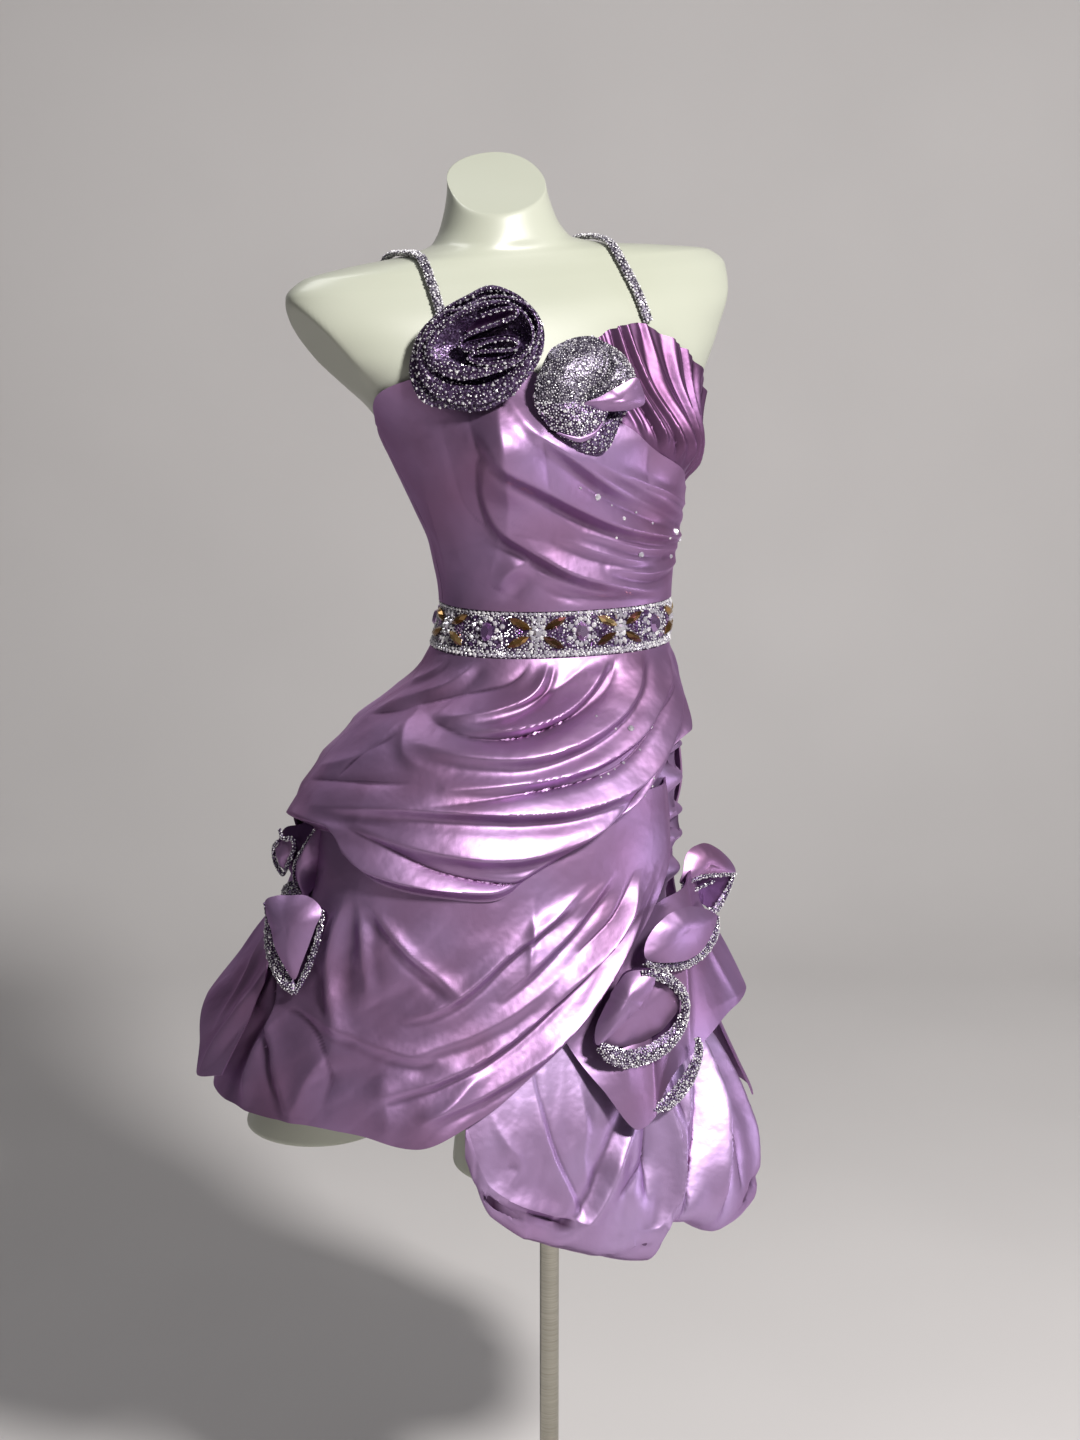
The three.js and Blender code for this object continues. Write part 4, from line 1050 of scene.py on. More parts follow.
FLOUNCE_RIGHT, FLOUNCE_LEFT = -134, -87
FLOUNCE_TOP = 800.0
FLOUNCE_SCALE = 3.4
FLOUNCE_HEM = edge_line([
    (-134, 676), (-124, 660), (-113, 650), (-103, 626), (-95, 604), (-87, 614),
])
FLOUNCE_TIP = {"angle": -113, "spread": 12, "reach": 28, "top": 742, "bottom": 652}
FLOUNCE_FOLDS = [
    ([(-112, 800), (-113, 740), (-114, 650)], 6, 7, 4.0),
    ([(-98, 800), (-100, 730), (-99, 640)], 6, 6, 5.0),
    ([(-124, 790), (-125, 730), (-126, 660)], 7, 7, 5.0),
]

BUBBLE_RIGHT, BUBBLE_LEFT = -27, 96
BUBBLE_TOP = edge_line([(-27, 812), (20, 860), (60, 936), (96, 958)])
BUBBLE_HEM = edge_line([
    (-27, 560), (-20, 506), (-4, 474), (12, 452), (26, 438), (33, 462), (40, 458), (52, 432),
    (66, 430), (74, 446), (84, 436), (96, 448),
])
BUBBLE_SCALE = 3.9
BUBBLE_FOLDS = [
    # the upper layer's own crease, and its edge lying over a hollow pouch
    ([(-9, 650), (-6, 600), (-3, 560), (2, 522), (4, 502)], 3, 14, 3.0),
    ([(-20, 600), (-16, 576), (-11, 556), (-15, 540)], 8, 8, 3.0),
    ([(6, 640), (9, 590), (6, 550), (8, 515)], 10, 10, 3.0),
    ([(-28, 548), (-20, 532), (-13, 518), (-7, 510), (0, 504), (4, 496)], 14, 2.5, 6.0),
    ([(-28, 541), (-20, 525), (-13, 511), (-6, 503), (0, 497)], 3.5, 4, -6.0),
    ([(-16, 505), (-12, 492), (-10, 478)], 4, 4, 5.0),
    ([(-26, 508), (-18, 490), (-6, 478), (2, 478)], 5, 7, 5.0),
    # the lower layer, swept up from the bottom of the pouch to the cascade's point
    ([(28, 600), (23, 572), (17, 547), (12, 516), (6, 492), (-2, 478)], 7, 17, 9.0),
    ([(30, 600), (29, 565), (27, 530), (25, 505)], 8, 8, -10.0),
    ([(28, 540), (22, 524), (16, 512)], 6, 6, -4.0),
    ([(35, 600), (36, 545), (33, 500), (28, 468), (25, 434)], 7, 4, 13.0),
    ([(32, 474), (20, 462), (8, 454)], 5, 3, 4.0),
    # gaps and ridges to the left side
    ([(41, 600), (42, 560), (39, 520), (36, 480)], 5, 5, -6.0),
    ([(50, 680), (48, 612), (43, 569), (38, 519), (35, 470)], 6, 5, 8.0),
    ([(58, 670), (56, 600), (51, 560), (45, 525), (40, 490), (37, 462)], 8, 8, -22.0),
    ([(64, 690), (60, 610), (55, 555), (49, 506), (46, 455)], 9, 7, 18.0),
    ([(69, 650), (66, 580), (62, 520), (58, 470)], 7, 7, -12.0),
    ([(74, 700), (72, 600), (70, 530), (66, 440)], 8, 8, 12.0),
    ([(79, 660), (77, 560), (76, 470)], 7, 7, -14.0),
    ([(88, 700), (87, 600), (86, 520), (85, 440)], 8, 8, 14.0),
    ([(70, 466), (63, 452), (56, 444)], 4, 5, -9.0),
]
# The hem curls under: height above the hem and distance inward, from the outside in.
BUBBLE_CURL = (
    (34, 0), (27, 0.6), (20, 1.4), (14, 2.6), (9, 4.4), (5, 7.2), (2, 11), (0, 16), (0, 22), (1.5, 28),
    (4, 34), (8, 40), (13, 45), (18, 48), (24, 50),
)
BUBBLE_COLUMNS, BUBBLE_ROWS = 301, 111
# A place inside the curl follows the hem's folds less, the further in it is.
CURL_REACH = 8.0
DEEPEST_TUCK = 30

CASCADE_RIGHT, CASCADE_LEFT = 2, 80
CASCADE_SCALE = 3.3
CASCADE_TIP = {"angle": 68, "spread": 13, "reach": 40, "top": 734, "run": 82}
CASCADE_HEM = edge_line([
    (2, 664), (12, 612), (20, 574), (30, 592), (42, 618), (56, 640), (68, 652), (80, 700),
])
CASCADE_FOLDS = [
    ([(30, 740), (28, 660), (25, 570)], 7, 7, 5.0),
    ([(46, 740), (44, 680), (42, 620)], 6, 6, 5.0),
    ([(58, 745), (60, 700), (62, 650)], 5, 5, 5.0),
    ([(16, 720), (18, 660), (18, 610)], 6, 6, 3.0),
    ([(72, 745), (72, 700), (72, 660)], 5, 5, 4.0),
]


CATCH = {"angle": -99, "spread": 24, "height": 782, "rise": 46, "depth": 30}
CORNER = {"angle": -94, "spread": 12, "start": 690, "run": 90, "lift": 8}


# The layers' lifts, in millimetres over the skirt's shell


def caught_in(angle, z):
    """The layers are drawn in where the drape is caught up on the right hip."""
    across = bell((angle - CATCH["angle"]) / CATCH["spread"])
    return CATCH["depth"] * across * bell((z - CATCH["height"]) / CATCH["rise"])


def drape_lift(z):
    return 11 * smooth((SKIRT_TOP - z) / 70)


def fan_offset(angle, z):
    tucked = 9 * smooth((angle - 48) / 14)
    return -1 - caught_in(angle, z) - 3 * smooth((z - 800) / 60) - tucked


def corner_lift(angle, z):
    """The lower corner at the right side seam stands out."""
    across = bell((angle - CORNER["angle"]) / CORNER["spread"])
    return CORNER["lift"] * across * smooth((CORNER["start"] - z) / CORNER["run"])


def drape_point(angle, z):
    side = smooth((angle - DRAPE_RIGHT) / 10) * smooth((DRAPE_LEFT - angle) / 12)
    folds = fold_height(DRAPE_FOLDS, DRAPE_SCALE, angle, z) * smooth((SKIRT_TOP - z) / 16) * side
    calm = ripple(angle, z, DRAPE_SCALE, size=1.3, seed=8, heading=70, spread=30)
    folds = folds + calm * side * smooth((SKIRT_TOP - z) / 30)
    turned = smooth(1 - (z - DRAPE_HEM(angle)) / 11)
    lapped = smooth((-12 - angle) / 10)
    resting = fan_offset(angle, z) + mix(-2.5, CLOTH + 1.0, lapped)
    lift = mix(drape_lift(z) + folds, resting, turned * smooth((60 - angle) / 20))
    return over_skirt(angle, z, np.maximum(lift, fan_offset(angle, z) - 3))


def fan_lift(angle, z):
    folds = fold_height(FAN_FOLDS, FAN_SCALE, angle, z)
    calm = ripple(angle, z, FAN_SCALE, size=2.4, seed=12, heading=125, spread=30)
    low = smooth((806 - z) / 50)
    flare = 4 * np.sin(np.radians(angle * 9 + 40)) * smooth((680 - z) / 90)
    return fan_offset(angle, z) + (folds + calm + flare) * low + corner_lift(angle, z)


def back_lift(angle, z):
    flared = sum(bell((angle - at) / 9) * rise for at, rise in BACK_FLUTES) * smooth((760 - z) / 150)
    edges = smooth((angle - 86) / 14) * smooth((260 - angle) / 14) * smooth((SKIRT_TOP - z) / 16)
    folds = fold_height(BACK_FOLDS, DRAPE_SCALE, angle, z)
    folds = folds + ripple(angle, z, DRAPE_SCALE, size=1.2, seed=21)
    low = smooth((850 - z) / 60)
    corner = corner_lift(angle - 360, z)
    lift = drape_lift(z) * (1 - low) - low + folds * edges + flared + corner
    return lift - caught_in(angle - 360, z)


def flounce_point(angle, z):
    under = np.maximum(fan_lift(angle, z), back_lift(angle + 360, z))
    down = np.maximum(0, (FLOUNCE_TIP["top"] - z) / (FLOUNCE_TIP["top"] - FLOUNCE_TIP["bottom"]))
    tip = FLOUNCE_TIP["reach"] * down * bell((angle - FLOUNCE_TIP["angle"]) / FLOUNCE_TIP["spread"])
    pleat = 8 * bell((angle + 92) / 5) * smooth(down)
    lift = mix(6.8, 2.9, bell((angle + 88) / 4) * smooth((z - 730) / 20))
    folds = np.maximum(fold_height(FLOUNCE_FOLDS, FLOUNCE_SCALE, angle, z), 0) * smooth((790 - z) / 30)
    return over_skirt(angle, z, under + lift + tip + pleat + folds)


def bubble_offset(z):
    return -21 + 15 * smooth((700 - z) / 160)


def bubble_fold(angle, z):
    grow = smooth((720 - z) / 180)
    folds = fold_height(BUBBLE_FOLDS, BUBBLE_SCALE, angle, z)
    calm = ripple(angle, z, BUBBLE_SCALE, size=1.8, seed=31, heading=10, spread=30)
    return (np.maximum(folds, -DEEPEST_TUCK) + calm) * grow


def bubble_point(angle, z, top):
    low = over_skirt(angle, z, bubble_offset(z) + bubble_fold(angle, z))
    high = over_form(angle, np.maximum(z, 745), 2.5, 0)
    high[..., 2] = z
    shell = over_skirt(angle, z, 0)
    high = mix(high, shell, 0.62 * smooth((top - z) / (top - 745))[..., None])
    points = mix(high, low, smooth((800 - z) / 70)[..., None])
    # a column of small ruffles at the left side, between the drape and the back
    ruffled = smooth((angle - 56) / 12) * smooth((z - 742) / 30) * smooth((950 - z) / 30)
    wave = np.sin(z / 4.6 + 0.05 * angle + 0.9 * np.sin(z / 13))
    ruffle = 6 + 5.5 * wave * (1 + 0.4 * np.sin(angle / 5))
    turn = np.radians(angle)
    out = np.stack(np.broadcast_arrays(np.sin(turn), -np.cos(turn), 0 * z), -1)
    return points + (ruffled * ruffle)[..., None] * out


def cascade_point(angle, z):
    out = smooth((FAN_HEM(angle) - 10 - z) / 60)
    down = np.clip((CASCADE_TIP["top"] - z) / CASCADE_TIP["run"], 0, 1)
    tip = CASCADE_TIP["reach"] * bell((angle - CASCADE_TIP["angle"]) / CASCADE_TIP["spread"]) * down
    wave = 5 * np.sin((angle - 14) * 0.22) * out
    under = mix(-8.5, -3.4, smooth((z - 722) / 22))
    folds = fold_height(CASCADE_FOLDS, CASCADE_SCALE, angle, z) * out
    return over_skirt(angle, z, mix(under, 8, out) + tip + wave + folds)


# The layers that are plain panels: rows, columns, right end, left end, top, hem and shape.
SEAM_GAP = 0.4
SKIRT_PANELS = {
    "drape": (148, 289, DRAPE_RIGHT, DRAPE_LEFT, SKIRT_TOP, DRAPE_HEM, drape_point),
    "front": (
        133, 271, FAN_RIGHT, FAN_LEFT, lambda a: np.minimum(864, DRAPE_HEM(a) + 34), FAN_HEM,
        lambda a, z: over_skirt(a, z, fan_lift(a, z)),
    ),
    "back": (
        109, 229, DRAPE_LEFT + SEAM_GAP, 360 + DRAPE_RIGHT - SEAM_GAP, SKIRT_TOP, BACK_HEM,
        lambda a, z: over_skirt(a, z, back_lift(a, z)),
    ),
    "flounce": (
        79, 103, FLOUNCE_RIGHT, FLOUNCE_LEFT, FLOUNCE_TOP, FLOUNCE_HEM, flounce_point,
    ),
    "cascade": (
        79, 139, CASCADE_RIGHT, CASCADE_LEFT, lambda a: 742 + 0.4 * a, CASCADE_HEM, cascade_point,
    ),
}


def bubble_grid():
    """The bubble's grid, from inside its curled hem up to its top."""
    angle = np.linspace(BUBBLE_RIGHT, BUBBLE_LEFT, BUBBLE_COLUMNS)
    hem, top = BUBBLE_HEM(angle), BUBBLE_TOP(angle)
    rows = []
    for rise, inward in BUBBLE_CURL[:0:-1]:
        z = hem + rise
        fold = mix(bubble_fold(angle, hem), bubble_fold(angle, z), np.exp(-inward / CURL_REACH))
        rows.append(over_skirt(angle, z, bubble_offset(hem) + fold * 0.95 - inward))
    for share in np.linspace(0, 1, BUBBLE_ROWS) ** 1.25:
        z = mix(hem + BUBBLE_CURL[0][0], top, share)
        rows.append(bubble_point(angle, z, top))
    return np.array(rows[(len(rows) - 1) % 3 :])


# Roses and petals. Each is laid out in a plane of its own: a place on the dress, the way that
# the plane faces and how far it leans back. Its parts are given as (x, y, height) in that plane.

PLANES = {
    "bust_large": ((-107.3, -84, 1257), -36, 8),
    "bust_small": ((-20, -118.5, 1212), -4, 8),
    "right_upper": ((-241.8, 9.4, 803), -60, 0),
    "right_lower": ((-258, -43, 739), -50, 8),
    "left_upper": ((133, -47.5, 766), 15, 5),
    "left_middle": ((65, -132, 735), 20, 0),
    "left_lower": ((6, -163, 684), 6, 0),
    "left_tail": ((40, -165, 614), 20, 0),
}


def smooth_path(points, closed, step):
    """An evenly stepped smooth curve through points. A closed one ends where it starts."""
    points = np.array(points, float)
    if closed:
        line = np.vstack([points[-1:], points, points[:2]])
    else:
        line = np.vstack([2 * points[:1] - points[1:2], points, 2 * points[-1:] - points[-2:-1]])
    t = np.linspace(0, 1, 12, endpoint=False)[:, None]
    curve = []
    for a, b, c, d in zip(line, line[1:], line[2:], line[3:]):
        square, cube = 2 * a - 5 * b + 4 * c - d, 3 * b - a - 3 * c + d
        curve.append(0.5 * (2 * b + (c - a) * t + square * t**2 + cube * t**3))
    curve = np.vstack([*curve, line[-2:-1]])
    run = np.concatenate([[0], np.cumsum(np.hypot(*np.diff(curve[:, :2], axis=0).T))])
    at = np.linspace(0, run[-1], max(8, round(run[-1] / step)) + 1)
    return np.stack([np.interp(at, run, curve[:, k]) for k in range(curve.shape[1])], -1)


PATH_STEP, EDGE_STEP = 2.0, 1.6
PETAL_ROWS, EDGE_ROWS = 13, 7


# The makers of a rose's parts. Each gives a grid, and whether its columns close round a ring.


def flat_cloth(middle, rim, power=1.8, hump=0.0, wave=1.0):
    """A petal, from its middle out to its rim. hump swells it between the two."""
    ring = smooth_path(rim, True, PATH_STEP)
    x, y = ring[:, 0], ring[:, 1]
    if np.sum(x[:-1] * y[1:] - x[1:] * y[:-1]) > 0:
        ring = ring[::-1]
    share = np.linspace(0.02, 1, PETAL_ROWS)[:, None]
    middle = np.array(middle, float)
    flat = middle[:2] + (ring[None, :, :2] - middle[:2]) * share[..., None]
    height = mix(middle[2], ring[None, :, 2], share**power) + hump * np.sin(np.pi * share)
    turn = np.arctan2(ring[:, 1] - middle[1], ring[:, 0] - middle[0])
    ruffle = np.sin(5 * turn + middle[0]) + 0.6 * np.sin(9 * turn + middle[1])
    height = height + 0.6 * wave * ruffle * share**2
    return np.concatenate([flat, height[..., None]], -1)[:, :-1], True


def band(path, rise=2.2, closed=False, rows=7):
    """A rounded band along a path of (x, y, height, width)."""
    line = smooth_path(path, closed, PATH_STEP)
    along = np.gradient(line[:, :2], axis=0)
    if closed:
        along[0] = along[-1] = line[1, :2] - line[-2, :2]
    along /= np.linalg.norm(along, axis=1, keepdims=True)
    left = np.stack([-along[:, 1], along[:, 0]], -1)
    across = np.linspace(-1, 1, rows)[:, None]
    flat = line[None, :, :2] + left * (across * line[None, :, 3] / 2)[..., None]
    height = line[None, :, 2] + rise * (1 - across**2)
    grid = np.concatenate([flat, height[..., None]], -1)
    return (grid[:, :-1], True) if closed else (grid, False)


def upright(path, low):
    """A strip standing on edge along a path of (x, y, height)."""
    line = smooth_path(path, False, EDGE_STEP)
    share = np.linspace(0, 1, EDGE_ROWS)[:, None]
    height = mix(low, line[None, :, 2], share)
    flat = np.broadcast_to(line[None, :, :2], (*height.shape, 2))
    return np.concatenate([flat, height[..., None]], -1), False


def drawn_in(points, share):
    """The large rose's outline, drawn in towards its middle."""
    x0, y0 = 6, 2
    return [(x0 + (x - x0) * share, y0 + (y - y0) * share, *rest) for x, y, *rest in points]


def at_height(points, *values):
    """The same outline, all at one height, and of one width where that is given."""
    return [(x, y, *values) for x, y, *_ in points]


# The large rose's rims: x, y, height, width.
OUTER_RIM = [
    (16, 53, 15, 5), (38, 47, 15, 4), (54, 35, 15, 4), (63, 22, 14, 4), (65, 5, 13, 5),
    (58, -13, 12, 8), (45, -29, 12, 9), (33, -41, 12, 11), (9, -50, 12, 15), (-15, -49, 12, 15),
    (-41, -45, 12, 13), (-53, -25, 13, 11), (-52, -2, 14, 8), (-45, 16, 15, 4), (-24, 34, 16, 4),
    (-4, 45, 16, 4),
]
MIDDLE_RIM = [
    (-8, 30, 21, 4), (-23, 26, 21, 4), (-37, 9, 20, 7), (-40, -10, 20, 12), (-34, -26, 19, 15),
    (-18, -37, 19, 17), (9, -40, 19, 16), (32, -31, 20, 12), (49, -13, 21, 8), (57, 4, 21, 5),
    (58, 20, 21, 4), (45, 35, 21, 4), (20, 40, 21, 4),
]
INNER_RIM = [
    (54, 2, 27, 3), (54, 15, 27, 3), (45, 28, 27, 3), (30, 35, 27, 4), (11, 33, 27, 5),
    (-6, 26, 27, 5), (-23, 15, 26, 6), (-32, 0, 26, 9), (-28, -13, 25, 12), (-7, -22, 25, 13),
    (18, -20, 26, 9), (42, -12, 27, 5),
]
CENTRE_FOLDS = [
    (12, 24), (26, 29), (40, 30), (41, 24), (27, 18), (8, 11), (-4, 5), (-5, -1), (2, -4), (18, 3),
    (37, 5), (44, 1), (37, -4), (18, -5), (5, -7), (3, -12), (18, -15), (41, -12),
]
SMALL_OUTLINE = [
    (-21, 50), (-5, 55), (14, 52), (28, 45), (41, 31), (46, 14), (48, 0), (39, -7), (29, -14), (24, -28),
    (17, -40), (4, -43), (-12, -39), (-22, -32), (-32, -25), (-41, -14), (-47, -1), (-47, 14), (-40, 29),
    (-31, 44),
]

# Each rose's parts: name, looks and grid. Parts with the deep looks are satin painted darker, as painted
# shade in the roses' hollows and under their petals.
ROSES = {
    "bust_large": [
        ("outer", "dark", flat_cloth((4, 0, -3), at_height(drawn_in(OUTER_RIM, 0.93), 15), 1.3)),
        ("outer_rim", "mixed", band(drawn_in(OUTER_RIM, 0.91), 2.6, True)),
        ("middle", "dark", flat_cloth((8, 0, 4), at_height(MIDDLE_RIM, 21), 1.5)),
        ("middle_rim", "mixed", band(MIDDLE_RIM, 2.6, True)),
        ("inner", "dark", flat_cloth((14, 2, 11), at_height(INNER_RIM, 27), 2.4)),
        ("inner_rim", "mixed", band(INNER_RIM, 2.4, True)),
        ("centre_fold", "dark", upright(at_height(CENTRE_FOLDS, 29), 14)),
        ("centre_rim", "mixed", band(at_height(CENTRE_FOLDS, 29, 3.4), 1.4)),
        ("centre_lining", "deep", flat_cloth((17, 20, 19), [
            (-3, 12, 20), (10, 22, 25), (26, 27, 28), (40, 29, 29), (38, 25, 28), (22, 17, 25),
            (6, 11, 22)], 1.5, 0, 0.3)),
        ("centre_low", "dark", flat_cloth((20, -1, 20), [
            (-2, 2, 26), (18, 6, 27), (40, 8, 27), (42, -4, 27), (20, -12, 26), (4, -10, 26),
            (-4, -3, 26)], 1.5, 0, 0.3)),
    ],
    "bust_small": [
        ("base", "mixed", flat_cloth((0, 0, 3), at_height(SMALL_OUTLINE, 2), 2.0, 1)),
        ("right_petal", "fine", flat_cloth((28, 24, 17), [
            (-3, 6, 4), (8, 20, 6), (13, 34, 6), (14, 50, 5), (28, 45, 4), (41, 31, 4), (46, 14, 5),
            (48, 0, 6), (30, 2, 9), (12, -2, 8), (2, -2, 6)], 1.7, 2)),
        ("left_petal", "fine", flat_cloth((-22, 20, 22), [
            (-21, 50, 5), (-5, 55, 6), (9, 53, 10), (15, 42, 17), (11, 31, 22), (4, 20, 22), (-4, 11, 18),
            (-10, -1, 14), (-22, -14, 10), (-35, -17, 7), (-47, -1, 4), (-47, 14, 4), (-40, 29, 4),
            (-31, 44, 4)], 1.9, 2)),
        ("hollow_lip", "fine", band([
            (12, 42, 17, 5), (12, 32, 21, 6), (6, 21, 21, 6), (-2, 13, 18, 6), (-8, 6, 15, 5)], 2.4)),
        ("low_petal", "mixed", flat_cloth((0, -28, 11), [
            (-30, -24, 7), (-12, -24, 9), (8, -17, 11), (24, -14, 8), (30, -14, 4), (24, -28, 4),
            (17, -40, 3), (4, -44, 3), (-12, -40, 3), (-22, -32, 3)], 1.8, 2)),
        ("front_petal", "silver", flat_cloth((-18, -12, 20), [
            (-47, -1, 5), (-38, 6, 10), (-22, 6, 14), (-8, 2, 15), (4, -6, 16), (12, -9, 17), (9, -18, 16),
            (1, -25, 15), (-11, -30, 13), (-22, -28, 11), (-32, -24, 7), (-41, -14, 5)], 1.8, 2)),
        ("front_edge", "satin", band([
            (-31, -25, 8, 2), (-21, -29, 11, 4), (-11, -31, 13, 6), (1, -26, 15, 4), (8, -17, 16, 2)], 1.6)),
        ("flap", "satin", flat_cloth((22, 0, 25), [
            (-9, -2, 19), (4, 3, 23), (20, 11, 25), (36, 18, 24), (42, 12, 22), (47, -2, 17), (38, -7, 17),
            (26, -9, 19), (10, -9, 19), (-2, -6, 18)], 1.8, 1, 0.5)),
    ],
    "right_upper": [
        ("back", "deep", flat_cloth((6, 5, 8), [
            (-18, 26, 2), (-1, 32, 2), (20, 39, 2), (33, 34, 0), (35, 8, 0), (27, -11, 0), (10, -29, 0),
            (-2, -24, 1), (-14, -13, 1), (-27, 8, 1)], 1.8, 1)),
        ("outer_petal", "satin", flat_cloth((-12, 3, 15), [
            (-23, 7, 9), (-13, 18, 9), (-2, 17, 10), (-1, 6, 11), (-13, -11, 8), (-21, -5, 8)], 1.8, 0, 0.4)),
        ("outer_rim", "silver", band([
            (-18, 27, 8, 3), (-12, 20, 11, 4), (2, 21, 12, 4), (3, 12, 13, 4), (-4, -1, 12, 4),
            (-13, -14, 10, 4), (-19, -13, 8, 5), (-25, -4, 8, 5), (-26, 8, 8, 4), (-18, 16, 10, 3)], 2.0)),
        ("middle_rim", "silver", band([
            (25, 33, 8, 2.5), (17, 17, 14, 3), (8, 3, 15, 3.5), (4, -7, 14, 3), (2, -19, 11, 3),
            (5, -29, 7, 3)], 1.6)),
        ("inner_petal", "satin", flat_cloth((19, 4, 23), [
            (28, 36, 6), (16, 14, 14), (9, 0, 15), (6, -24, 9), (11, -31, 6), (27, -12, 6), (34, 8, 5),
            (34, 26, 4)], 1.8, 1, 0.4)),
        ("low_beads", "silver", flat_cloth((-12, -30, 8), [
            (-24, -36, 2), (-20, -28, 3), (-7, -21, 3), (3, -27, 3), (-2, -35, 2), (-15, -39, 2)], 1.8, 0)),
    ],
    "right_lower": [
        ("lining", "deep", flat_cloth((2, 2, 1), [
            (-34, 30, 2), (-10, 40, 3), (22, 35, 2), (21, 16, 2), (14, -6, 2), (8, -22, 2), (-2, -40, 2),
            (-16, -30, 2), (-28, -6, 2)], 1.5, 0)),
        ("left_rim", "silver", band([
            (-36, 35, 9, 3), (-33, 22, 8, 5), (-32, 8, 7, 10), (-29, -6, 6, 14), (-22, -20, 6, 16),
            (-12, -33, 6, 15), (-3, -41, 6, 7)], 3.2, rows=11)),
        ("right_rim", "silver", band([
            (22, 35, 5, 3), (20, 20, 6, 5), (16, 2, 6, 6), (10, -16, 6, 6), (2, -34, 6, 5), (-3, -42, 5, 4)],
            2.4)),
        ("hood", "satin", flat_cloth((-6, 18, 21), [
            (-36, 36, 10), (-27, 42, 8), (-14, 44, 7), (2, 46, 6), (14, 42, 6), (21, 33, 7), (17, 18, 11),
            (13, 3, 13), (7, -14, 13), (-1, -29, 12), (-13, -14, 14), (-20, -2, 15), (-24, 9, 15),
            (-30, 20, 13)], 1.9, 1, 0.6)),
    ],
    "left_upper": [
        ("lining", "deep", flat_cloth((6, -18, 2), [
            (-25, -8, 8), (-7, -5, 8), (15, -6, 9), (38, -11, 8), (31, -28, 6), (17, -47, 4), (4, -37, 3),
            (-22, -24, 3)], 1.5, 0)),
        ("low_beads", "silver", band([
            (38, -12, 10, 3), (35, -22, 8, 5), (28, -33, 6, 8), (17, -44, 5, 9), (9, -44, 4, 5)], 2.2)),
        ("small_rim", "silver", band([
            (-26, -11, 7, 3), (-21, -21, 6, 3), (-8, -19, 6, 3), (14, -15, 7, 3)], 1.6)),
        ("roll", "satin", flat_cloth((4, 4, 15), [
            (-29, -10, 8), (-26, 2, 8), (-15, 19, 5), (6, 23, 4), (23, 15, 5), (36, 2, 8), (39, -11, 11),
            (15, -7, 15), (-7, -5, 14)], 1.9, 1, 0.6)),
        ("rim", "silver", band([
            (-28, -10, 9, 3), (-7, -6, 14, 3.5), (15, -8, 15, 3.5), (39, -12, 11, 3)], 1.8)),
    ],
    "left_middle": [
        ("rim", "silver", band([
            (50, 6, 6, 5), (49, -10, 6, 10), (36, -22, 7, 12), (14, -28, 7, 13), (-10, -27, 7, 12),
            (-32, -22, 6, 10), (-46, -16, 5, 5)], 3.0, rows=11)),
        ("hood", "satin", flat_cloth((0, 3, 15), [
            (-44, -2, 4), (-31, 13, 4), (-10, 22, 5), (10, 23, 5), (28, 19, 6), (47, 9, 8), (47, 2, 9),
            (32, -13, 13), (10, -22, 15), (-13, -22, 14), (-43, -15, 8)], 1.9, 1, 0.5)),
    ],
    "left_lower": [
        ("back", "deep", flat_cloth((5, -8, -2), [
            (-6, 34, 2), (17, 32, 3), (32, 26, 4), (47, 12, 4), (50, -4, 4), (48, -24, 3), (38, -38, 3),
            (20, -48, 3), (-3, -50, 3), (-26, -41, 3), (-40, -25, 3), (-36, -12, 3), (-24, 8, 3),
            (-16, 24, 3)], 1.5, 0)),
        ("inside", "satin", flat_cloth((6, -4, 9), [
            (14, 24, 5), (32, 15, 8), (43, 2, 9), (45, -10, 8), (34, -23, 6), (13, -34, 4),
            (-12, -35, 4), (-30, -28, 6), (-36, -21, 8), (-24, -10, 8), (-8, 2, 8), (6, 14, 6)],
            1.6, 0, 1.2)),
        ("ring", "silver", band([
            (2, 33, 10, 4), (17, 30, 13, 9), (33, 21, 14, 10), (45, 8, 14, 9), (49, -7, 13, 9),
            (44, -24, 12, 14), (30, -37, 12, 18), (10, -44, 12, 18), (-12, -44, 12, 17), (-29, -36, 12, 15),
            (-40, -26, 10, 8)], 4.5, rows=13)),
        ("flap", "satin", flat_cloth((-14, 12, 18), [
            (-8, 33, 5), (4, 35, 9), (16, 32, 14), (9, 17, 18), (-4, 4, 18), (-20, -9, 16),
            (-41, -26, 11), (-40, -12, 5), (-28, 8, 3), (-19, 22, 3)], 1.9, 1, 0.8)),
    ],
    "left_tail": [
        ("crescent", "silver", band([
            (37, 27, 4, 4), (39, 12, 5, 12), (28, -6, 6, 18), (12, -18, 6, 19), (-4, -25, 5, 15),
            (-21, -27, 3, 4)], 3.4, rows=11)),
    ],
}


def in_plane(name, grid):
    """Moves a rose's grid from its plane to its place."""
    place, face, lift = PLANES[name]
    face, lift = math.radians(face), math.radians(lift)
    across = np.array([math.cos(face), math.sin(face), 0])
    level = np.array([math.sin(face), -math.cos(face), 0])
    out = level * math.cos(lift) + np.array([0, 0, math.sin(lift)])
    up = np.cross(out, across)
    return np.array(place) + grid[..., :1] * across + grid[..., 1:2] * up + grid[..., 2:] * out


# A part's cloth, then its small beads and its larger ones: finish, (spacing, smallest, largest)
# and flatness.
LOOKS = {
    "dark": ("sequin", ("dark_beads", (2.5, 1.0, 1.7), 0.8), ("beads", (13.0, 1.2, 2.0), 0.8)),
    "mixed": ("sequin", ("beads", (2.7, 0.7, 1.5), 0.8), ("stones", (5.4, 1.6, 3.2), 0.8)),
    "fine": ("silver_mesh", ("beads", (1.9, 0.9, 1.5), 0.8), ("stones", (8.0, 2.0, 3.4), 0.7)),
    "silver": ("sequin", ("beads", (1.9, 1.1, 2.1), 0.8), ("stones", (7.5, 2.6, 3.8), 0.7)),
    "satin": ("satin",),
    # deep: the satin painted darker, as painted shade on linings and the backs of petals.
    "deep": ("satin_deep",),
}
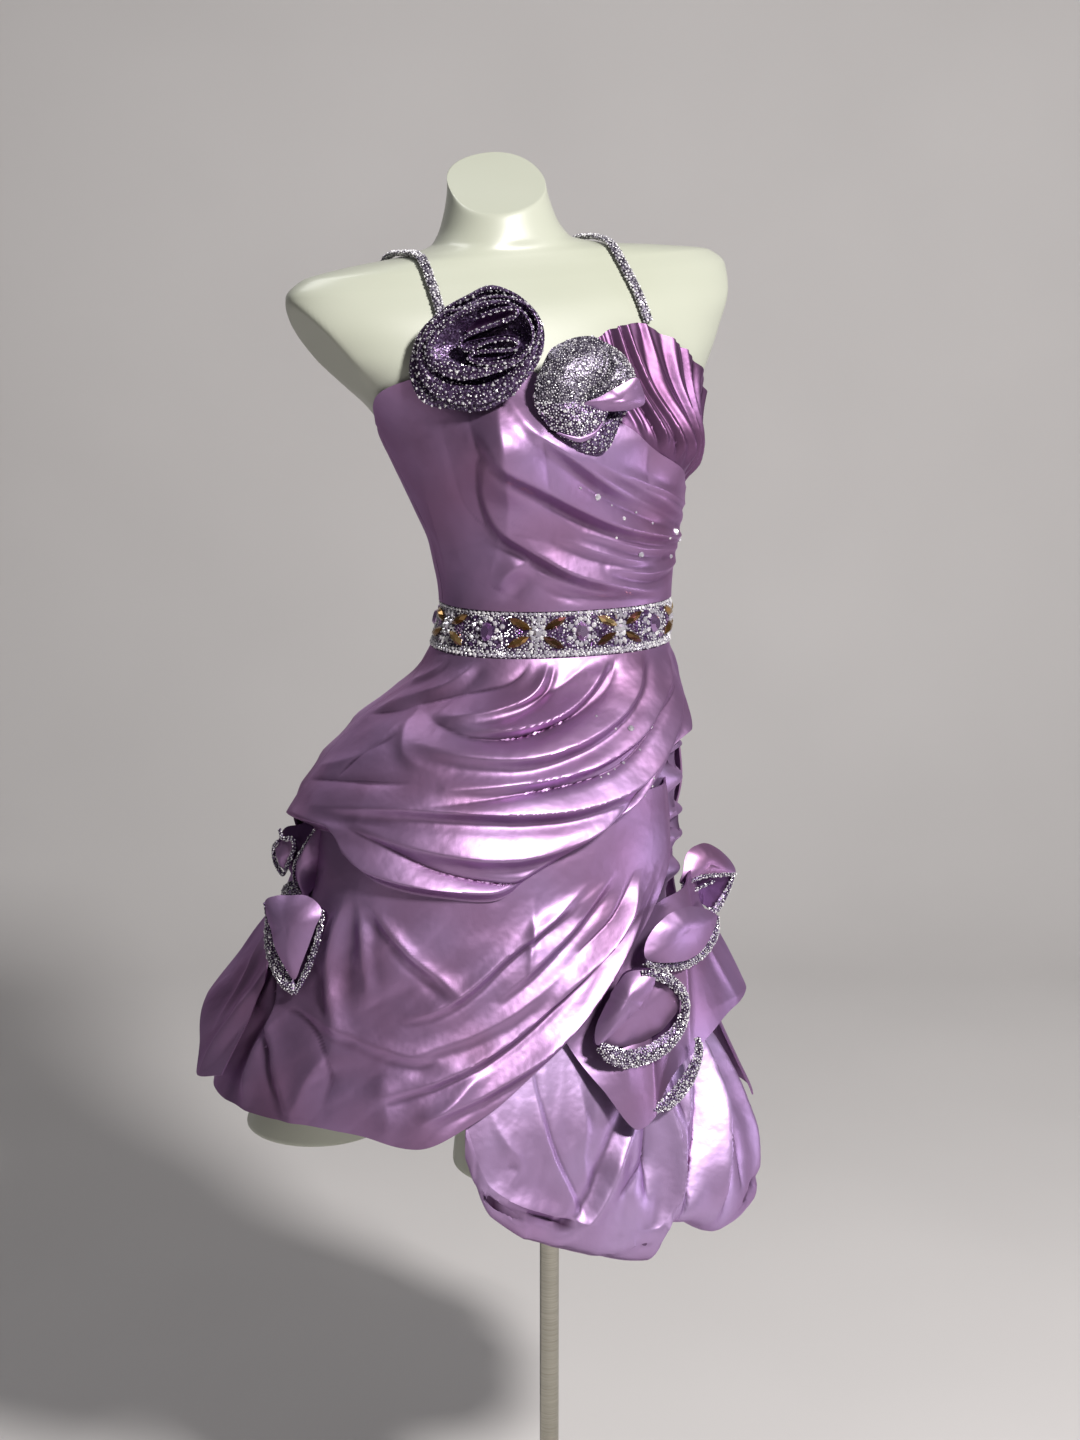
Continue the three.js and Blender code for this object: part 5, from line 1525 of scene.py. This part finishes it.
# The roses' cloth thickness, and the bead size that the looks' measures are given for.
ROSE_CLOTH = 1.0
BEAD = 2.1 * MM


def rose(name, node, sizes):
    """All the parts of one rose in a piece of cloth, and the beads sewn on it."""
    walls, beads = [], []
    grow = sizes.bead / BEAD
    for part, looks, (grid, closed) in ROSES[name]:
        finish, *layers = LOOKS[looks]
        wall = cloth(f"{name}_{part}", in_plane(name, grid), ROSE_CLOTH, 1, True, closed)
        wall.data.materials.append(material(finish))
        for layer, (kind, measures, flatness) in enumerate(layers):
            grown = [measure * grow for measure in measures]
            beads.append(beads_on(
                wall, f"{name}_{part}_beads_{layer}", kind, grown, flatness, sizes.seed + layer))
        walls.append(wall)
    item = finish_piece(join(f"{name}_cloth", walls), None, [node])
    if beads:
        finish_piece(join(f"{name}_beading", beads), None)


# Sizes and colours that a user would change


class DressSizes(PropertyGroup):
    bead: FloatProperty(
        name="Bead", description="Largest small bead", default=BEAD, min=0, unit="LENGTH")
    pole: FloatProperty(
        name="Pole radius", description="Radius of the pole", default=9.5 * MM, unit="LENGTH")
    base: FloatProperty(
        name="Base radius", description="Radius of the base", default=170 * MM, unit="LENGTH")
    seed: IntProperty(
        name="Seed", description="Start of the draws that scatter the beads", default=4, min=0)


def colour_choice(label, use, tone):
    return FloatVectorProperty(
        name=label, description=use, subtype="COLOR", size=4, default=linear(tone), min=0, max=1)


class DressColours(PropertyGroup):
    satin_deep: colour_choice("Satin, deep", "Darker tone of the satin", "#957093")
    satin_light: colour_choice("Satin, light", "Lighter tone of the satin", "#a68ab5")
    # The bubble's two tones are the satin painted paler: painted light on the same cloth, where the bubble is
    # lit more brightly.
    bubble_deep: colour_choice("Bubble, deep", "Darker tone of the bubble's paler satin", "#a788b0")
    bubble_light: colour_choice("Bubble, light", "Lighter tone of the bubble's paler satin", "#b9a1cb")


MATERIALS = {}


def material(name):
    """The named material, made on its first use."""
    if name not in MATERIALS:
        chosen = bpy.context.scene.dress_colours
        silver = [(0.0, "#7d7986"), (0.35, "#bcb9c3"), (0.65, "#ecebef"), (1.0, "#ffffff")]
        makers = {
            "satin": lambda: duchess_satin("lilac_satin", chosen.satin_deep, chosen.satin_light),
            # The bubble's satin is the same cloth painted paler, as painted light.
            "satin_painted_paler": lambda: duchess_satin(
                "pale_lilac_satin_painted_light", chosen.bubble_deep, chosen.bubble_light),
            # The pleated cup's satin is the same cloth painted darker: painted shade, as the cup lies in
            # shade.
            "satin_pleats_painted_shade": lambda: duchess_satin("pleated_lilac_satin_painted_shade", "#6c4a69", "#7f5f87"),
            # The same satin painted darker: painted shade for the roses' linings and the backs of their
            # petals.
            "satin_deep": lambda: duchess_satin("shaded_lilac_satin", "#55395f", "#6f4e7a"),
            "sequin": lambda: sequin_cloth(
                "sequin_cloth", [(0.2, "#2b1b36"), (0.6, "#452f52"), (0.9, "#77658a")]),
            "silver_mesh": lambda: sequin_cloth(
                "silver_mesh", [(0.2, "#2f2838"), (0.6, "#575062"), (0.9, "#98929f")]),
            "beads": lambda: cut_glass("silver_glass_beads", silver, 0.2, 0.25),
            "dark_beads": lambda: cut_glass(
                "smoked_glass_beads",
                [(0.0, "#2a1f36"), (0.6, "#4a3a5e"), (0.88, "#7d7091"), (1.0, "#d8d4e0")], 0.2, 0.6),
            "stones": lambda: cut_glass("clear_cut_stones", silver[1:], 0.08, 0.5),
            "amber": lambda: cut_glass(
                "amber_cut_stones", [(0.0, "#5a3f26"), (0.6, "#94703e"), (1.0, "#d2b67c")], 0.14),
            "violet": lambda: cut_glass(
                "violet_cut_stones", [(0.0, "#5f3f74"), (0.6, "#9673a6"), (1.0, "#cdb0d8")], 0.1),
            "shell": gloss_shell,
            "steel": brushed_steel,
            "paper": pale_paper,
        }
        MATERIALS[name] = makers[name]()
    return MATERIALS[name]


# Operators


class DRESS_OT_form(Operator):
    """Build the dress form, its pole and its base."""

    bl_idname = "dress.form"
    bl_label = "Dress form"

    def execute(self, context):
        sizes = context.scene.dress_sizes
        shell = [form_torso(), *(form_thigh(f"form_thigh_{i}", leg) for i, leg in enumerate(LEGS))]
        finish_piece(join("form_shell", shell), "shell", ["dress_form"])
        radius = sizes.pole / MM
        pole = lathe("pole_tube", [
            (0.01, 14.3), (radius, 14.3), (radius, 60), (radius, 250), (radius, 466.7), (25, 466.7),
            (26, 467.6), (26, 470.8), (25, 471.7), (0.01, 471.7),
        ])
        finish_piece(pole, "steel", ["stand_pole"])
        edge = sizes.base / MM
        base = lathe("base_plate", [
            (0.01, 0), (edge - 1, 0), (edge, 1), (edge, 10), (edge - 0.8, 12.2), (edge - 3, 13.8),
            (edge - 5, 14), (30, 14), (12, 14), (0.01, 14),
        ], 180)
        finish_piece(base, "steel", ["stand_base"])
        return {"FINISHED"}


class DRESS_OT_bodice(Operator):
    """Build the draped bodice front, the pleated cup, the back and the straps."""

    bl_idname = "dress.bodice"
    bl_label = "Bodice"

    def execute(self, context):
        front = finish_piece(bodice_front(), "satin", ["bodice_front"])
        # The cup gets the satin painted darker, as painted shade.
        cup = finish_piece(pleated_cup(), "satin_pleats_painted_shade", ["bodice_cup_left"])
        back = finish_piece(bodice_back(), "satin", ["bodice_back"])
        seed = context.scene.dress_sizes.seed
        for strap in STRAPS:
            tube = strap_tube(strap)
            beads = beads_on(tube, strap["node"] + "_beads", "beads", (2.1, 1.6, 2.8), 0.8, seed)
            finish_piece(tube, "silver_mesh", [strap["node"]])
            finish_piece(beads, None)
        return {"FINISHED"}


STARS = 7
STAR_START = -34
STONE_MIDDLE = (BAND_TOP + BAND_BOTTOM) / 2 + 2
# Millimetres round the band for each degree.
BAND_SCALE = 1.87
BORDER_STONES = 150


def band_surface(angle, z):
    return band_point(angle, (z - BAND_BOTTOM) / (BAND_TOP - BAND_BOTTOM), BAND_OUTER)


def band_stones():
    """The band's stones, by their finish: rows of kind, angle, height, size and turn."""
    rows = {"stones": [], "amber": [], "violet": []}

    def add(finish, kind, angle, across, rise, size, turn=0):
        rows[finish].append((kind, angle + across / BAND_SCALE, STONE_MIDDLE + rise, size, turn))

    def ring(finish, kind, angle, leans, across, rise, size, turned=0):
        for lean in leans:
            c, s = math.cos(math.radians(lean)), math.sin(math.radians(lean))
            turn = 0 if kind == "round" else lean + turned
            add(finish, kind, angle, across * c, rise * s, size, turn)

    for k in range(STARS):
        # a star: a cluster of round stones, four long amber ones and drops between them
        star = STAR_START + k * 360 / STARS
        add("stones", "round", star, 0, 0, 8.0)
        ring("stones", "round", star, range(0, 360, 45), 6.4, 6.4, 4.6)
        ring("amber", "navette", star, (27, 154, 206, 331), 19.5, 18, 22.0)
        ring("stones", "drop", star, (65, 90, 115, 245, 270, 295), 13, 12.5, 8.0, -90)
        # between its long stones, a wedge of violet beads on each side
        for side in (-1, 1):
            for row in range(1, 5):
                for i in range(row):
                    rise = (i - (row - 1) / 2) * 2.9
                    add("violet", "round", star, side * (10.5 + row * 2.7), rise, 2.9)
        # between two stars: an oval in a ring of round stones, with more about it
        oval = star + 180 / STARS
        add("violet", "oval", oval, 0, 0, 17.0)
        ring("stones", "round", oval, [i * 360 / 11 + 8 for i in range(11)], 9.4, 11.6, 4.4)
        for side in (-1, 1):
            add("stones", "round", oval, side * 14.2, 5.0, 5.0)
            add("stones", "round", oval, side * 14.2, -5.5, 4.2)
            add("violet", "drop", oval, side * 13.5, 12.0, 7.0, side * 60)
            add("violet", "drop", oval, side * 13.0, -12.0, 7.0, side * 120)
    for k in range(BORDER_STONES):
        angle = k * 360 / BORDER_STONES
        rows["stones"] += [
            ("round", angle, BAND_TOP - 2.0, 3.2 + 0.5 * math.sin(k * 2.3), 0),
            ("round", angle + 1.2, BAND_BOTTOM + 2.2, 3.4 + 0.5 * math.sin(k * 1.7), 0),
            ("round", angle, BAND_BOTTOM + 5.2, 3.0 + 0.5 * math.sin(k * 3.1), 0),
        ]
    return rows


class DRESS_OT_waistband(Operator):
    """Build the waistband with its bead borders and its stones."""

    bl_idname = "dress.waistband"
    bl_label = "Waistband"

    def execute(self, context):
        belt = waistband()
        seed = context.scene.dress_sizes.seed
        beads = beads_on(belt, "waistband_beads", "beads", (1.9, 1.5, 2.3), 0.8, seed)
        finish_piece(belt, "sequin", ["waistband"])
        finish_piece(beads, None)
        rows = band_stones()
        stones_on("waistband_clear_stones", band_surface, rows["stones"], "stones")
        stones_on("waistband_amber_stones", band_surface, rows["amber"], "amber")
        stones_on("waistband_violet_stones", band_surface, rows["violet"], "violet")
        return {"FINISHED"}


class DRESS_OT_skirt(Operator):
    """Build the skirt's layers."""

    bl_idname = "dress.skirt"
    bl_label = "Skirt"

    def execute(self, context):
        layers = (
            ("drape", "satin", (0.48, 0.22), "gathered"),
            ("front", "satin", (0.46, 0.28), "hung"),
            ("back", "satin", (0.66, 0.44), "hung"),
            ("flounce", "satin", (0.24, 0.18), "hung"),
            ("cascade", "satin", (0.26, 0.18), "hung"),
            # The bubble gets the satin painted paler, as painted light.
            ("bubble", "satin_painted_paler", (0.54, 0.44), "gathered"),
        )
        for layer, finish, flat, held in layers:
            grid = bubble_grid() if layer == "bubble" else panel(*SKIRT_PANELS[layer])
            item = finish_piece(cloth(f"{layer}_satin", grid, CLOTH), finish, [f"skirt_{layer}"])
        return {"FINISHED"}


class DRESS_OT_roses(Operator):
    """Build the beaded roses and the hip petals."""

    bl_idname = "dress.roses"
    bl_label = "Roses"

    def execute(self, context):
        for name in ROSES:
            node = ("rose_" if name.startswith("bust") else "petals_") + name
            rose(name, node, context.scene.dress_sizes)
        return {"FINISHED"}


STONE_TURN = 20
# Rhinestones sewn on the cloth: angle, height, size.
BODICE_STONES = (
    (-9, 1139, 2.6), (0, 1130, 6.4), (14, 1110, 3.8), (23, 1114, 2.4), (33, 1103, 2.6), (43, 1088, 2.6),
    (28, 1075, 6.0), (56, 1068, 4.4), (12, 1092, 2.6), (50, 1092, 7.0), (8, 1122, 2.0), (60, 1083, 5.0),
)
SKIRT_STONES = (
    (19, 925, 6.2), (31, 923, 4.2), (12, 926, 2.4), (0, 939, 2.2), (19, 896, 3.2), (12, 889, 2.4),
    (30, 865, 3.0), (26, 905, 2.4), (33, 872, 2.6), (9, 887, 2.0), (15, 892, 2.2), (34, 878, 2.2),
    (84, 956, 5.0), (82, 940, 4.0), (80, 925, 4.0),
)


class DRESS_OT_stones(Operator):
    """Sew single stones on the bodice and the skirt."""

    bl_idname = "dress.stones"
    bl_label = "Single stones"

    def execute(self, context):
        upper = [("round", a, z, size, STONE_TURN) for a, z, size in BODICE_STONES]
        stones_on("bodice_stones", bodice_point, upper, "stones")
        lower = [("round", a, z, size, STONE_TURN) for a, z, size in SKIRT_STONES]
        stones_on("skirt_stones", drape_point, lower, "stones")
        return {"FINISHED"}


CAMERA = {"azimuth": -24, "elevation": 12, "distance": 1900, "aim": (-8.5, 3.8, 912), "lens": 50.8}
# In metres: the paper's half width, and where it starts to curve up and ends behind the dress.
PAPER_HALF, PAPER_BEND, BEND_RADIUS, PAPER_TOP = 6.0, 1.9, 0.9, 5.0
# Each light's name, place in metres, size, power and colour.
LIGHTS = (
    ("key", (0.45, -2.45, 2.8), 0.45, 140, "#fffbf8"),
    ("side", (2.1, -1.2, 0.5), 0.6, 9, "#f6f0ff"),
    ("fill", (-2.6, -1.6, 1.0), 1.4, 2.0, "#ffeae6"),
    ("top", (-0.5, 0.9, 3.0), 1.0, 10, "#ffffff"),
)


class DRESS_OT_stage(Operator):
    """Set the floor, the lights and the camera."""

    bl_idname = "dress.stage"
    bl_label = "Stage"

    def execute(self, context):
        scene = context.scene
        turn = np.radians(np.linspace(0, 90, 25))
        out, up = PAPER_BEND + BEND_RADIUS * np.sin(turn), BEND_RADIUS - BEND_RADIUS * np.cos(turn)
        curve = [(-PAPER_HALF, 0.0), *zip(out, up), (2.8, PAPER_TOP)]
        points = [(x, y, z) for x in (-PAPER_HALF, PAPER_HALF) for y, z in curve]
        count = len(curve)
        faces = [[i, count + i, count + i + 1, i + 1] for i in range(count - 1)]
        floor = object_from("studio_paper", np.array(points) / MM, faces, {}, 60)
        floor.data.materials.append(material("paper"))
        floor.data.transform(Matrix.Rotation(math.radians(CAMERA["azimuth"]), 4, "Z"))
        world = bpy.data.worlds.new("studio_air")
        world.use_nodes = True
        air = world.node_tree.nodes["Background"]
        feed(world.node_tree, air, {"Color": linear("#e9e9ee"), "Strength": 0.1})
        scene.world = world
        aim = Vector(CAMERA["aim"]) * MM
        for name, place, size, power, colour in LIGHTS:
            lamp = bpy.data.lights.new(name, "AREA")
            lamp.shape = "DISK"
            lamp.size = size
            lamp.energy = power
            lamp.color = linear(colour)[:3]
            item = bpy.data.objects.new(name, lamp)
            item.location = place
            item.rotation_euler = (aim - Vector(place)).to_track_quat("-Z", "Y").to_euler()
            scene.collection.objects.link(item)
        azimuth, elevation = (math.radians(CAMERA[key]) for key in ("azimuth", "elevation"))
        back = Vector((math.sin(azimuth) * math.cos(elevation),
                       -math.cos(azimuth) * math.cos(elevation), math.sin(elevation)))
        lens = bpy.data.cameras.new("camera")
        lens.lens = CAMERA["lens"]
        lens.sensor_width = 36
        camera = bpy.data.objects.new("camera", lens)
        camera.location = aim + back * CAMERA["distance"] * MM
        camera.rotation_euler = (-back).to_track_quat("-Z", "Y").to_euler()
        scene.collection.objects.link(camera)
        scene.camera = camera
        scene.view_settings.view_transform = "Standard"
        return {"FINISHED"}


OPERATORS = (
    DRESS_OT_stage, DRESS_OT_form, DRESS_OT_bodice, DRESS_OT_waistband, DRESS_OT_skirt,
    DRESS_OT_roses, DRESS_OT_stones,
)


class DRESS_PT_panel(Panel):
    bl_label = "Dress"
    bl_idname = "DRESS_PT_panel"
    bl_space_type = "VIEW_3D"
    bl_region_type = "UI"
    bl_category = "Dress"

    def draw(self, context):
        for group in (context.scene.dress_sizes, context.scene.dress_colours):
            for key in group.__annotations__:
                self.layout.prop(group, key)
        for operator in OPERATORS:
            self.layout.operator(operator.bl_idname)


CLASSES = (DressSizes, DressColours, *OPERATORS, DRESS_PT_panel)


def register():
    for item in CLASSES:
        bpy.utils.register_class(item)
    bpy.types.Scene.dress_sizes = PointerProperty(type=DressSizes)
    bpy.types.Scene.dress_colours = PointerProperty(type=DressColours)


def unregister():
    del bpy.types.Scene.dress_colours
    del bpy.types.Scene.dress_sizes
    for item in reversed(CLASSES):
        bpy.utils.unregister_class(item)


def main():
    register()
    for operator in OPERATORS:
        group, name = operator.bl_idname.split(".")
        getattr(getattr(bpy.ops, group), name)()


if __name__ == "__main__":
    main()
